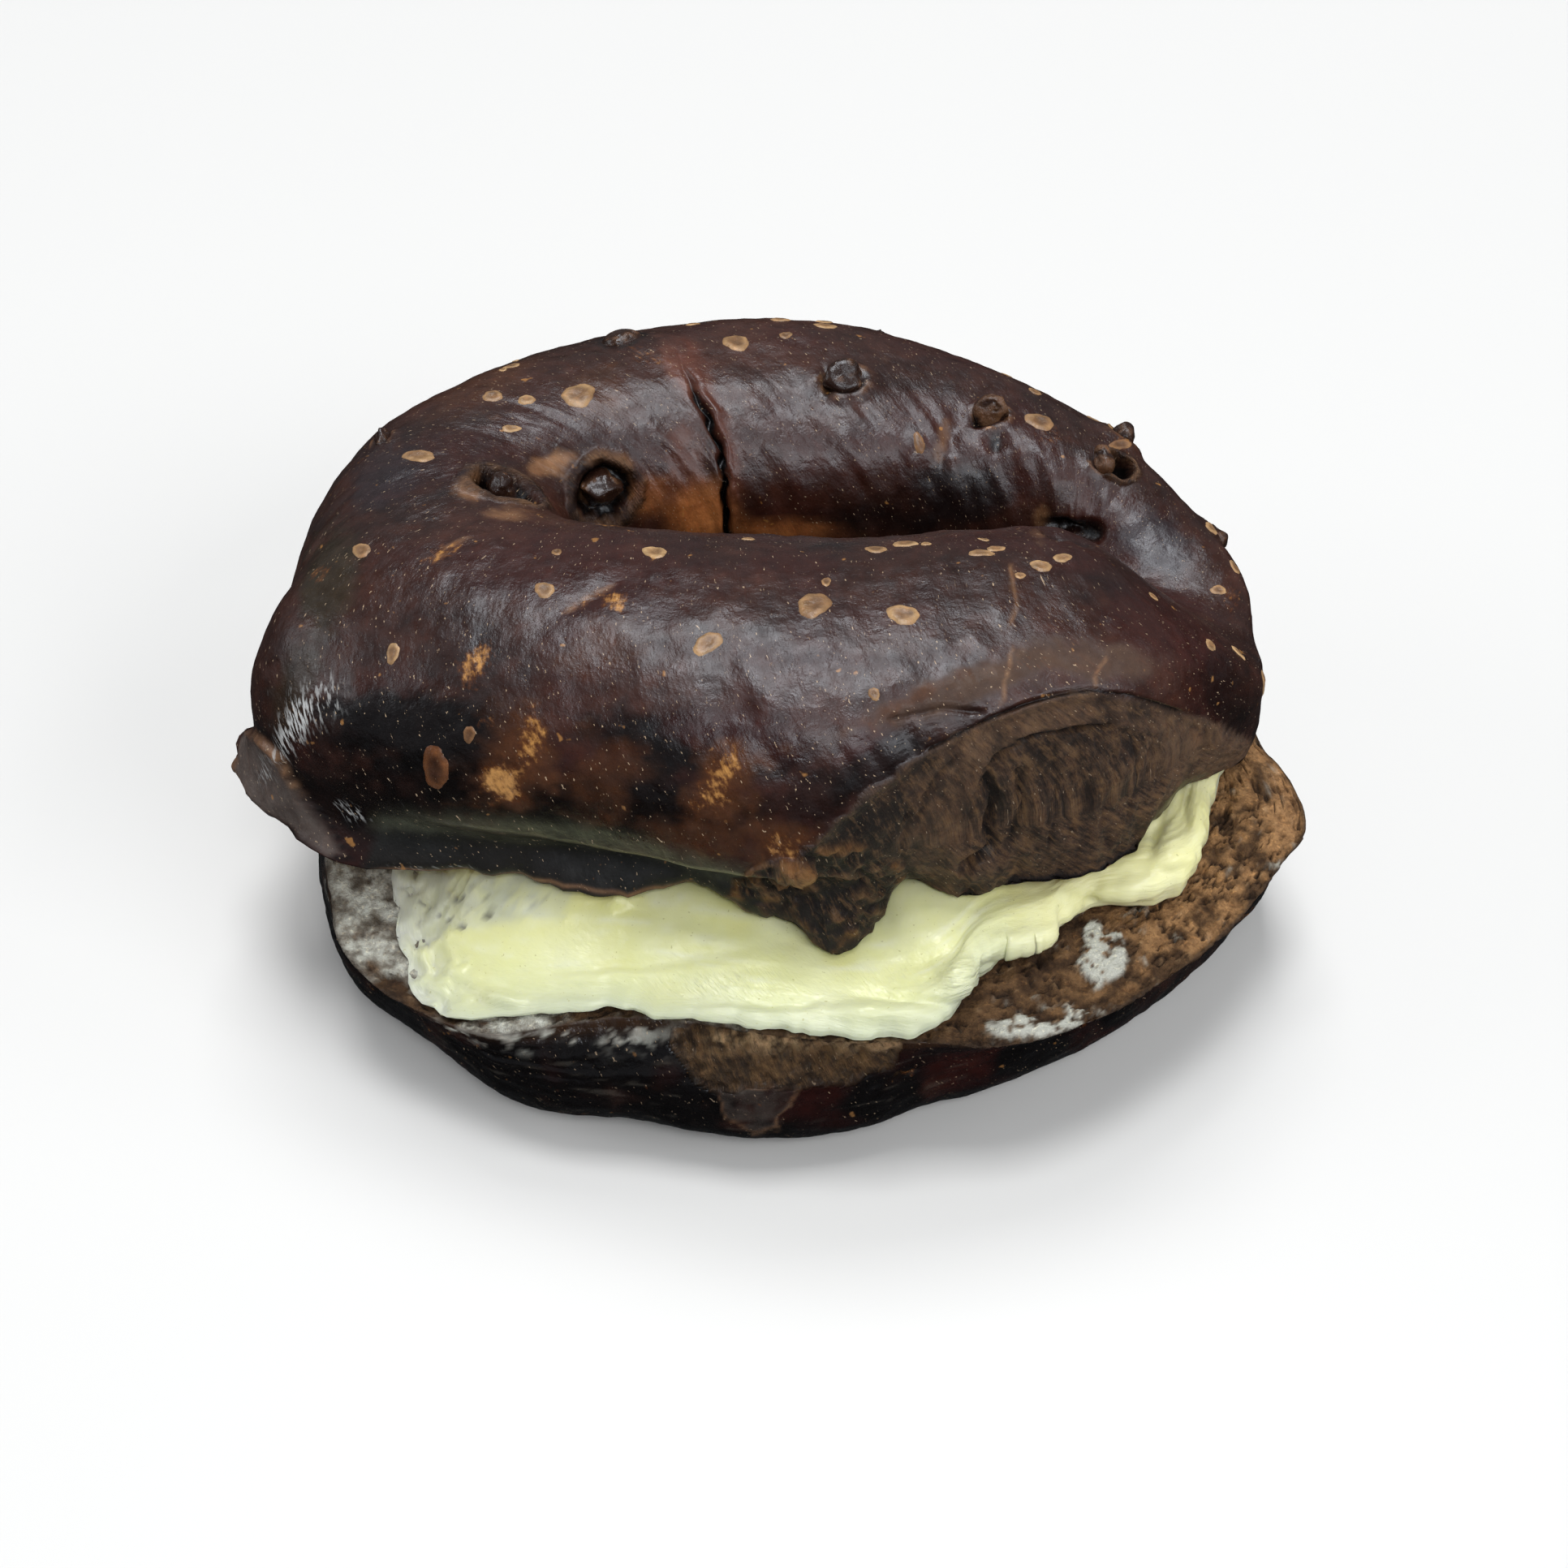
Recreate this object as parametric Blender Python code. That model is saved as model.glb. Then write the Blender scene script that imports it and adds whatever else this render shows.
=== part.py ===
"""A dark chocolate bagel, sliced level and closed again over a thick spread.

Three solids: the top half (a rolled rope of dough whose end laps the ring on the right), the
bottom half, and the spread between them. Each is a torus primitive whose points are moved to the
real section of the dough, station by station around the ring. Pits, a crack and the folds of the
torn front right are then cut into the top half, and chips of chocolate are joined on.

Lengths in the driving dimensions are millimetres and angles are degrees. Angles run anticlockwise
seen from above, with 0 at +X (right) and 270 at the front (-Y).
"""

import functools
import math

import bpy
from mathutils import Vector

MM = 0.001
FROM_ORIGIN = (0.6, 0.7, 0.0)  # puts the middle of the bagel's box over the origin

# ---- The top half ------------------------------------------------------------------------------
TOP_CENTRE = (-1.5, 6.3)
TOP_BULGE = (  # radius of the crust at its widest, from TOP_CENTRE
    (0, 49.2), (10, 46.7), (25, 43.7), (45, 39.9), (70, 38.8), (90, 38.6), (115, 39.4), (140, 42.4),
    (160, 45.3), (181, 47.4), (192, 49.2), (201, 53.4), (210, 53.0), (220, 49.4), (233, 45.0),
    (243, 42.2), (254, 41.4), (264, 42.0), (270, 42.6), (280, 43.0), (290, 42.4), (300, 43.8),
    (312, 47.2), (320, 48.5), (328, 49.5), (339, 51.8), (350, 49.8),
)
TOP_EDGE = (  # radius of the cut edge: lips, flaps and notches of torn crust
    (0, 46.5), (45, 37.8), (90, 35.6), (140, 37.8), (181, 45.0), (193, 51.6), (200, 56.2),
    (208, 55.0), (217, 53.5), (222, 51.0), (229, 45.6), (236, 42.4), (250, 40.4), (260, 36.6),
    (268, 39.2), (275, 40.4), (279, 43.4), (285, 41.2), (290, 38.0), (297, 41.8), (303, 43.2),
    (312, 46.9), (319, 47.7), (328, 46.6), (333, 48.2), (339, 51.6), (348, 49.5),
)
TOP_DROP = (  # how far the torn edge hangs below the slice
    (0, 0.0), (255, 0.0), (266, 0.5), (274, 1.4), (279, 2.8), (285, 2.0), (290, 0.2), (297, 0.5),
    (305, 0.0), (330, 0.0),
)
TOP_CREST = (  # height of the crest over the slice
    (0, 11.5), (28, 16.6), (50, 18.8), (90, 21.3), (150, 21.3), (180, 22.3), (225, 24.5),
    (270, 25.2), (310, 24.6), (322, 22.5), (332, 18.0), (340, 13.0), (348, 10.5),
)
TOP_POWER = (  # of the section's sides: 1 is an ellipse and less is squarer
    (0, 0.85), (90, 0.85), (175, 0.85), (195, 1.0), (212, 1.05), (235, 0.85), (270, 0.85),
    (288, 0.7), (300, 0.55), (325, 0.55), (340, 0.7),
)
CREASE_DEPTH = (  # of the groove that runs round above the lip of the cut edge
    (0, 0.0), (190, 0.0), (205, 0.2), (218, 0.5), (232, 2.0), (246, 3.0), (262, 3.4), (278, 2.0),
    (290, 0.0),
)
TORN_TOP = (  # across angle up to which the crust of the front right is torn off
    (0, -40), (180, -40), (270, -40), (275, 3), (280, 18), (290, 32), (300, 43), (310, 47),
    (318, 34), (327, 12), (335, -20), (342, -40), (350, -40),
)
TORN_DEPTH = 0.9  # how far the dough there is set back
TORN_STEP = 9.0  # degrees across, over which the torn face drops back
TOP_HOLE_CENTRE = (5.5, 8.5)
TOP_HOLE_HALF = (26.0, 5.6)
HOLE_POWER = 2.3
INNER_POWER = 0.85  # of the top half's section on the hole's side
WIDEST_HEIGHT = 8.0  # of the crust's bulge over the slice
LOWER_EDGE = -40  # across angle where the crust meets the slice
TOP_SECTION = ((0.0, -40), (26 / 30, 220), (1.0, 320))  # across angle by share of the section
FACE_CROWDING = 0.35  # gathers the cut face's points towards its outer edge
FLAP_REACH = (3.0, 9.0)  # how far in under the slice a hanging flap's press on the spread fades
TUCK = 2.5  # how far the crust turns in below its bulge on the hole's side
SLICE_HEIGHT = 20.2  # of the top half's cut face over the table at the origin
SLICE_SLOPE = -0.055  # the top half leans back, so its cut face falls towards +Y

# Chips in the crust: (around, across, radius, how far the centre stands off the surface).
CHIPS = (
    (185.5, 117, 1.7, -0.6), (147.7, 150, 2.1, -0.2), (83.9, 104, 2.2, -0.2), (52.9, 104, 1.7, 0.0),
    (23.4, 94, 1.5, 0.1), (118.4, 68, 2.6, -0.5), (168.0, 62, 1.2, -0.1), (25.6, 53, 1.9, -0.4),
    (72.0, 24, 2.0, -0.2), (101.0, 12, 1.8, -0.1), (140.0, 16, 2.1, -0.2), (8.0, 8, 1.6, -0.1),
)
CHIP_WIDTH = 0.85  # across the ring, as a share of the radius
# Pits round sunken chips: (around, across, half length, half width, depth).
PITS = (
    (188.0, 118.5, 2.0, 2.9, 2.2), (147.7, 152, 2.6, 2.4, 1.8), (20.8, 88, 1.4, 1.4, 1.7),
)
CRACK_FROM = (112, 90)  # (around, across) of the upper end of the crack in the back of the ring
CRACK_TO = (110, 190)
CRACK_RADIUS = 0.8
CRACK_STEPS = 14
CRACK_WANDER = 1.0  # degrees round the ring
CRACK_BENDS = 9.0  # radians of that wander from end to end
# Folds in the torn face: a radius and the (around, across) places that each runs through.
FOLDS = (
    (0.65, ((279, 17), (284, 25), (290, 32), (300, 43), (310, 47), (317, 36))),
    (0.75, ((300, 22), (302, 27), (306, 30), (313, 27))),
    (0.9, ((297, 18), (298, 8), (297, -4))),
)
FOLD_STEPS = 3  # between two places
TUBE_SUNK = 0.4  # of a cutting tube's radius, under the crust
TUBE_END = 0.3  # of its radius, left at its ends

# ---- The bottom half ---------------------------------------------------------------------------
BOTTOM_CENTRE = (3.5, -3.75)
BOTTOM_RIM = (  # radius of the cut face's rim
    (0, 46.2), (30, 45.0), (60, 42.0), (90, 40.0), (120, 41.0), (150, 45.0), (180, 48.5),
    (204, 52.0), (211, 53.3), (217, 52.5), (226, 50.0), (231, 48.6), (237, 44.9), (244, 41.6),
    (251, 40.4), (268, 40.6), (283, 41.6), (291, 43.8), (301, 45.4), (311, 46.2), (324, 47.6),
    (338, 49.5), (345, 51.0), (352, 49.4),
)
BOTTOM_BULGE = (  # how far the crust stands outside the rim, half way down
    (0, 0.5), (25, 2.4), (60, 3.2), (90, 3.4), (130, 3.2), (180, 2.4), (204, 0.6), (215, -2.0),
    (228, -0.4), (240, 3.8), (258, 3.6), (275, 1.6), (290, -3.0), (303, -4.8), (316, -4.6),
    (330, -3.8), (345, -2.4),
)
FACE_LUMPS = (  # (x, y, radius, height) of high and low places in the cut face
    (-35.0, -38.0, 15.0, -2.8), (-4.0, -45.0, 16.0, 1.3),
)
BOTTOM_HOLE_CENTRE = (9.0, -1.5)
BOTTOM_HOLE_HALF = (25.0, 8.5)
BOTTOM_HEIGHT = 15.5
BOTTOM_WIDEST = 8.0
BASE_SINK = 2.5  # how much of the round underside is baked flat
UNDER_SIDE_POWER = 0.8  # of the underside's section, sideways and downwards
UNDER_DROP_POWER = 0.85
RIM = 30  # across angle of the rim
BOTTOM_SECTION = ((0.0, -90), (0.25, 0), (0.375, 30), (0.625, 150), (0.75, 180), (1.0, 270))

# ---- The spread --------------------------------------------------------------------------------
SPREAD_CENTRE = BOTTOM_CENTRE
SPREAD_HOLE_CENTRE = (8.0, 1.0)
SPREAD_HOLE_HALF = (30.0, 15.5)
SPREAD_RADIUS = (  # of the spread's outer edge
    (0, 43.0), (60, 38.0), (90, 36.0), (150, 42.0), (200, 45.0), (216, 49.1), (220, 50.2),
    (227, 48.8), (235, 45.0), (243, 42.0), (257, 40.6), (270, 40.8), (283, 42.0), (287, 40.9),
    (292, 37.6), (297, 36.0), (306, 36.7), (313, 36.3), (318, 37.2), (323, 40.9), (329, 42.9),
    (336, 42.1), (345, 41.5),
)
SPREAD_EDGE = (  # thickness just inside that edge
    (0, 2.6), (180, 2.0), (215, 1.0), (235, 1.2), (255, 1.8), (280, 2.6), (290, 3.6), (300, 3.0),
    (315, 3.2), (325, 4.4), (336, 5.2), (345, 4.6),
)
SPREAD_RIDGE = (  # how far its pushed-up edge stands over what lies behind it
    (0, 0.0), (240, 0.0), (275, 0.3), (286, 0.8), (296, 1.4), (306, 1.2), (316, 0.9), (326, 1.6),
    (336, 2.0), (346, 0.8),
)
RIDGE_INSET = 2.6
RIDGE_WIDTH = 2.2
SPREAD_SIDE_POWER = 0.6  # of the spread's section, sideways and upwards
SPREAD_RISE_POWER = 0.5
SPREAD_SLOPE = 16.0  # how far in from its edge the spread reaches the top half
SPREAD_SECTION = ((0.0, 0), (1.0, 360))
GAP = 0.3  # between pieces that touch

# ---- Meshes and finishes -----------------------------------------------------------------------
TOP_STEPS = (104, 30)  # round the ring and across its section
BOTTOM_STEPS = (76, 24)
SPREAD_STEPS = (80, 16)
NEAR = 0.5  # degrees to the neighbouring places that give a surface's directions
SHARP_ANGLE = 50  # between faces that meet at an edge rather than a curve
CRUST_COLOUR = (0.045, 0.024, 0.017)
CRUST_ROUGHNESS = 0.38
SPREAD_COLOUR = (0.80, 0.78, 0.42)
SPREAD_ROUGHNESS = 0.4


def stations(table, angle):
    """The value at an angle on the smooth closed curve through a table of (angle, value)."""
    angle %= 360
    count = len(table)
    after = next((k for k, (at, _) in enumerate(table) if at > angle), count)
    ends = []
    for k in range(after - 2, after + 2):
        at, value = table[k % count]
        ends.append((at + 360 * (k // count), value))
    (a0, v0), (a1, v1), (a2, v2), (a3, v3) = ends
    step = a2 - a1
    t = (angle - a1) / step
    slope1 = (v2 - v0) / (a2 - a0) * step
    slope2 = (v3 - v1) / (a3 - a1) * step
    return (
        v1 * (2 * t**3 - 3 * t**2 + 1)
        + slope1 * (t**3 - 2 * t**2 + t)
        + v2 * (3 * t**2 - 2 * t**3)
        + slope2 * (t**3 - t**2)
    )


def polar(centre, radius, angle):
    turn = math.radians(angle)
    return Vector((centre[0] + radius * math.cos(turn), centre[1] + radius * math.sin(turn)))


def oval(centre, half, power, angle):
    """A point on a superellipse; power 2 is an ellipse and more is squarer."""
    c, s = math.cos(math.radians(angle)), math.sin(math.radians(angle))
    return Vector(
        (
            centre[0] + half[0] * math.copysign(abs(c) ** (2 / power), c),
            centre[1] + half[1] * math.copysign(abs(s) ** (2 / power), s),
        )
    )


def mix(a, b, share):
    return a + (b - a) * share


def ramp(value, low, high):
    """0 below low, 1 above high, smooth between."""
    t = min(1.0, max(0.0, (value - low) / (high - low)))
    return t * t * (3 - 2 * t)


# ---- Shapes ------------------------------------------------------------------------------------
def slice_height(y):
    return SLICE_HEIGHT + SLICE_SLOPE * y


def face_height(x, y):
    """The bottom half's cut face: level but for a few broad lumps and dips."""
    lumps = (h * math.exp(-((x - a) ** 2 + (y - b) ** 2) / r**2) for a, b, r, h in FACE_LUMPS)
    return BOTTOM_HEIGHT + sum(lumps)


def torn_back(around, across):
    """How far the torn face is set back at a place on the crust."""
    below = stations(TORN_TOP, around) - across
    return TORN_DEPTH * ramp(below, 0.0, TORN_STEP) * ramp(across, LOWER_EDGE, 0.0)


@functools.lru_cache(maxsize=None)
def top_ring(around):
    turn = math.radians(around)
    outward = Vector((math.cos(turn), math.sin(turn)))
    bulge = polar(TOP_CENTRE, stations(TOP_BULGE, around), around)
    edge = stations(TOP_EDGE, around) - stations(TOP_BULGE, around)
    inner = oval(TOP_HOLE_CENTRE, TOP_HOLE_HALF, HOLE_POWER, around)
    return bulge, inner, outward, edge


def top_point(around, across):
    bulge, inner, outward, edge = top_ring(around)
    crest = stations(TOP_CREST, around)
    middle, half = (bulge + inner) / 2, (bulge - inner) / 2
    if LOWER_EDGE <= across <= 180 - LOWER_EDGE:
        c, s = math.cos(math.radians(across)), math.sin(math.radians(across))
        if s >= 0:
            power = stations(TOP_POWER, around) if c > 0 else INNER_POWER
            plan = middle + half * math.copysign(abs(c) ** power, c)
            plan -= outward * torn_back(around, across)
            return plan.x, plan.y, slice_height(plan.y) + mix(WIDEST_HEIGHT, crest, s**power)
        depth = s / math.sin(math.radians(LOWER_EDGE))
        if c > 0:
            groove = stations(CREASE_DEPTH, around) * math.sin(math.pi * depth) ** 2
            plan = bulge + outward * (edge * depth**2 - groove - torn_back(around, across))
        else:
            plan = inner + half.normalized() * TUCK * depth**2
        hang = stations(TOP_DROP, around) * depth**2 if c > 0 else 0.0
        return plan.x, plan.y, slice_height(plan.y) + WIDEST_HEIGHT * (1 - depth) - hang
    over_face = (across - (180 - LOWER_EDGE)) / (180 + 2 * LOWER_EDGE)
    start = inner + half.normalized() * TUCK
    plan = mix(start, bulge + outward * edge, over_face**FACE_CROWDING)
    return plan.x, plan.y, slice_height(plan.y)


@functools.lru_cache(maxsize=None)
def bottom_ring(around):
    outer = polar(BOTTOM_CENTRE, stations(BOTTOM_RIM, around), around)
    inner = oval(BOTTOM_HOLE_CENTRE, BOTTOM_HOLE_HALF, HOLE_POWER, around)
    return outer, inner, stations(BOTTOM_BULGE, around)


def bottom_point(around, across):
    outer, inner, bulge = bottom_ring(around)
    middle, half = (outer + inner) / 2, (outer - inner) / 2
    c, s = math.cos(math.radians(across)), math.sin(math.radians(across))
    if RIM <= across <= 180 - RIM:
        plan = middle + half * mix(1, -1, (across - RIM) / (180 - 2 * RIM))
        return plan.x, plan.y, face_height(plan.x, plan.y)
    if s >= 0:
        rise = s / math.sin(math.radians(RIM))
        out = bulge * (1 - rise**2) if c > 0 else 0.0
        plan = middle + half * math.copysign(1, c) + half.normalized() * out
        height = mix(BOTTOM_WIDEST, face_height(plan.x, plan.y), rise)
        return plan.x, plan.y, height
    side = math.copysign(abs(c) ** UNDER_SIDE_POWER, c)
    out = bulge * side if c > 0 else 0.0
    plan = middle + half * side + half.normalized() * out
    drop = (BOTTOM_WIDEST + BASE_SINK) * abs(s) ** UNDER_DROP_POWER
    height = max(0.0, BOTTOM_WIDEST - drop)
    return plan.x, plan.y, height


@functools.lru_cache(maxsize=None)
def spread_ring(around):
    outer = polar(SPREAD_CENTRE, stations(SPREAD_RADIUS, around), around)
    inner = oval(SPREAD_HOLE_CENTRE, SPREAD_HOLE_HALF, HOLE_POWER, around)
    return outer, inner


def ceiling(x, y):
    """The underside of the top half, with room for the flaps that hang below the slice."""
    away = Vector((x - TOP_CENTRE[0], y - TOP_CENTRE[1]))
    angle = math.degrees(math.atan2(away.y, away.x)) % 360
    under = stations(TOP_EDGE, angle) - away.length
    hang = stations(TOP_DROP, angle) * (1 - ramp(under, *FLAP_REACH))
    return slice_height(y) - max(0.0, hang)


def spread_point(around, across):
    outer, inner = spread_ring(around)
    c, s = math.cos(math.radians(across)), math.sin(math.radians(across))
    side = math.copysign(abs(c) ** SPREAD_SIDE_POWER, c)
    plan = (outer + inner) / 2 + (outer - inner) / 2 * side
    low = face_height(plan.x, plan.y) + GAP
    full = ceiling(plan.x, plan.y) - GAP - low
    inside = (outer - plan).length
    thick = mix(stations(SPREAD_EDGE, around), full, ramp(inside, 0.0, SPREAD_SLOPE))
    ridge = math.exp(-(((inside - RIDGE_INSET) / RIDGE_WIDTH) ** 2))
    thick += stations(SPREAD_RIDGE, around) * ridge
    high = low + min(thick, full)
    rise = math.copysign(abs(s) ** SPREAD_RISE_POWER, s)
    return plan.x, plan.y, mix(low, high, 0.5 + 0.5 * rise)


# ---- Objects -----------------------------------------------------------------------------------
def material(name, colour, roughness):
    made = bpy.data.materials.new(name)
    made.use_nodes = True
    shader = made.node_tree.nodes["Principled BSDF"]
    shader.inputs["Base Color"].default_value = (*colour, 1)
    shader.inputs["Roughness"].default_value = roughness
    shader.inputs["Metallic"].default_value = 0
    return made


def move_to(thing, collection):
    for other in thing.users_collection:
        other.objects.unlink(thing)
    collection.objects.link(thing)


def add_ring(name, steps, section, point, finish, collection):
    """A torus primitive whose points are moved to where point(around, across) says."""
    bpy.ops.mesh.primitive_torus_add(
        major_segments=steps[0],
        minor_segments=steps[1],
        major_radius=1.0,
        minor_radius=0.5,
    )
    ring = bpy.context.object
    ring.name = name
    for vertex in ring.data.vertices:
        x, y, z = vertex.co
        around = round(math.degrees(math.atan2(y, x)) % 360, 3)
        share = round(math.atan2(z, math.hypot(x, y) - 1.0) / math.tau % 1, 6)
        knots = next(pair for pair in zip(section, section[1:]) if share <= pair[1][0])
        (from_share, from_across), (to_share, to_across) = knots
        across = mix(from_across, to_across, (share - from_share) / (to_share - from_share))
        vertex.co = (Vector(point(around, across)) + Vector(FROM_ORIGIN)) * MM
    ring.data.shade_smooth()
    ring.data.materials.append(finish)
    move_to(ring, collection)
    return ring


def surface(around, across):
    """Where a point of the top half's crust is, and which way is out of it there, in mm."""
    here = Vector(top_point(around, across))
    along = Vector(top_point(around + NEAR, across)) - here
    over = Vector(top_point(around, across + NEAR)) - here
    return here + Vector(FROM_ORIGIN), along.cross(over).normalized(), along.normalized()


def add_blob(name, place, normal, along, half, collection):
    """An ellipsoid with half sizes (along the ring, across it, outwards)."""
    bpy.ops.mesh.primitive_ico_sphere_add(subdivisions=2, radius=1.0)
    blob = bpy.context.object
    blob.name = name
    across = normal.cross(along)
    for vertex in blob.data.vertices:
        a, b, c = vertex.co
        vertex.co = (place + along * a * half[0] + across * b * half[1] + normal * c * half[2]) * MM
    move_to(blob, collection)
    return blob


def add_tube(name, places, radius, collection):
    """A tube just under the crust through (around, across) places, thin at its two ends."""
    curve = bpy.data.curves.new(name, "CURVE")
    curve.dimensions = "3D"
    curve.bevel_depth = radius * MM
    curve.bevel_resolution = 1
    curve.use_fill_caps = True
    line = curve.splines.new("POLY")
    line.points.add(len(places) - 1)
    for step, (spot, (around, across)) in enumerate(zip(line.points, places)):
        here, normal, _ = surface(around, across)
        spot.co = (*((here - normal * radius * TUBE_SUNK) * MM), 1)
        spot.radius = mix(TUBE_END, 1.0, math.sin(math.pi * step / (len(places) - 1)) ** 0.5)
    tube = bpy.data.objects.new(name, curve)
    collection.objects.link(tube)
    bpy.context.view_layer.update()
    mesh = bpy.data.meshes.new_from_object(tube)
    bpy.data.objects.remove(tube)
    collection.objects.link(bpy.data.objects.new(name, mesh))


def crack_places():
    """The places down the crack, which wanders round the ring."""
    for step in range(CRACK_STEPS + 1):
        share = step / CRACK_STEPS
        around = mix(CRACK_FROM[0], CRACK_TO[0], share)
        around += CRACK_WANDER * math.sin(CRACK_BENDS * share)
        yield around, mix(CRACK_FROM[1], CRACK_TO[1], share)


def fold_places(corners):
    """The places along a fold, with steps between its corners."""
    for here, there in zip(corners, corners[1:]):
        for step in range(FOLD_STEPS):
            share = step / FOLD_STEPS
            yield mix(here[0], there[0], share), mix(here[1], there[1], share)
    yield corners[-1]


def boolean(target, operation, collection):
    """Joins or cuts everything in a collection, then removes what was in it."""
    modifier = target.modifiers.new(operation.lower(), "BOOLEAN")
    modifier.operation = operation
    modifier.operand_type = "COLLECTION"
    modifier.collection = collection
    modifier.solver = "EXACT"
    bpy.context.view_layer.objects.active = target
    bpy.ops.object.modifier_apply(modifier=modifier.name)
    for other in list(collection.objects):
        bpy.data.objects.remove(other)


def main():
    for other in list(bpy.data.objects):
        bpy.data.objects.remove(other)
    bagel = bpy.data.collections.new("bagel")
    cutters = bpy.data.collections.new("cutters")
    chips = bpy.data.collections.new("chips")
    for group in (bagel, cutters, chips):
        bpy.context.scene.collection.children.link(group)
    crust = material("dark_crust", CRUST_COLOUR, CRUST_ROUGHNESS)
    spread = material("pale_spread", SPREAD_COLOUR, SPREAD_ROUGHNESS)
    top = add_ring("top_half", TOP_STEPS, TOP_SECTION, top_point, crust, bagel)
    add_ring("bottom_half", BOTTOM_STEPS, BOTTOM_SECTION, bottom_point, crust, bagel)
    add_ring("spread", SPREAD_STEPS, SPREAD_SECTION, spread_point, spread, bagel)
    for around, across, long, wide, deep in PITS:
        here, normal, along = surface(around, across)
        add_blob("pit", here, normal, along, (long, wide, deep), cutters)
    add_tube("crack", list(crack_places()), CRACK_RADIUS, cutters)
    for radius, corners in FOLDS:
        add_tube("fold", list(fold_places(corners)), radius, cutters)
    boolean(top, "DIFFERENCE", cutters)
    for around, across, radius, stand in CHIPS:
        here, normal, along = surface(around, across)
        half = (radius, radius * CHIP_WIDTH, radius)
        add_blob("chip", here + normal * stand, normal, along, half, chips)
    boolean(top, "UNION", chips)
    for group in (cutters, chips):
        bpy.data.collections.remove(group)
    top.data.set_sharp_from_angle(angle=math.radians(SHARP_ANGLE))
    top.data.materials.clear()
    top.data.materials.append(crust)


main()
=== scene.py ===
"""Looks for the dark chocolate bagel: its crust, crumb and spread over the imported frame.

The three pieces repeat the source's section functions on fine grids, and relief is added to them:
torn crust, folds, pits, blisters, pores and the strokes of the knife. Lengths are millimetres,
save in the room, where they are metres. Angles are degrees. Places on the side that the camera
sees are pixels of the 1932 x 1932 frame.
"""

import itertools
import math

import bpy
import numpy as np
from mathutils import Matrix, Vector
from mathutils.bvhtree import BVHTree


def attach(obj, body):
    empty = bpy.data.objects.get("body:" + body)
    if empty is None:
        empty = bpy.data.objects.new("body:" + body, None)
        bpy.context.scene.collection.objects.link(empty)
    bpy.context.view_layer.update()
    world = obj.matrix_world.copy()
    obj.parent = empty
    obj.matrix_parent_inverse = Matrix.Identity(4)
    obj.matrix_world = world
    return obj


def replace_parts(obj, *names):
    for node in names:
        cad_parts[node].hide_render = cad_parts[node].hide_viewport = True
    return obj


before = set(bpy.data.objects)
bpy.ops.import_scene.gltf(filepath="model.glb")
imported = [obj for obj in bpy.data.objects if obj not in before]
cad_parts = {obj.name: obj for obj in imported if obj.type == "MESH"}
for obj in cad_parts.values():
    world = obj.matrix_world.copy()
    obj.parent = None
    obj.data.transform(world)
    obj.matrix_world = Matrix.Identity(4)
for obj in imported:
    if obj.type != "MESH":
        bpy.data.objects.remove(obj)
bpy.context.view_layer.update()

MM = 0.001
FROM_ORIGIN = np.array((0.6, 0.7, 0.0))
SEED = 20261124

# ---- Camera ------------------------------------------------------------------------------------
FRAME_SIDE = 1932
FOCAL = 3000.0  # pixels
LOOK_DOWN = math.radians(46.0)
CAMERA_TARGET = np.array((1.1, 4.95, 0.0))
CAMERA_AWAY = 270.0
CAMERA_RIGHT = np.array((1.0, 0.0, 0.0))
CAMERA_UP = np.array((0.0, math.sin(LOOK_DOWN), math.cos(LOOK_DOWN)))
CAMERA_FORWARD = np.array((0.0, math.cos(LOOK_DOWN), -math.sin(LOOK_DOWN)))
CAMERA_PLACE = CAMERA_TARGET - CAMERA_FORWARD * CAMERA_AWAY
SENSOR = 36.0

# ---- Room --------------------------------------------------------------------------------------
LIGHTS = (  # (name, azimuth, height in degrees, size in metres, watts)
    ("overhead", 95, 84, (0.6, 0.5), 10.5), ("back_key", 96, 58, (0.7, 0.28), 7.5),
    ("right_key", 12, 42, (0.4, 0.4), 1.4), ("left_rim", 176, 26, (0.9, 0.4), 3.4),
    ("front_fill", -36, 36, (1.0, 0.7), 8.0), ("front_top", -84, 55, (0.6, 0.4), 6.0),
)
LIGHT_AWAY = 1.6
SKY_TINT = (0.92, 0.96, 1.0, 1)
SKY = (  # (sine of the height, strength)
    (-1.0, 0.03), (0.0, 0.03), (0.06, 0.30), (0.45, 0.10), (0.6, 0.06), (1.0, 0.40),
)
BACKDROP = 0.86  # how bright the sky looks behind the floor
FLOOR_HALF = 1.5
FLOOR_TONES = ((0.75, 0.75, 0.742), (0.78, 0.78, 0.775))
FLOOR_ROUGHNESS = 0.55

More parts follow.
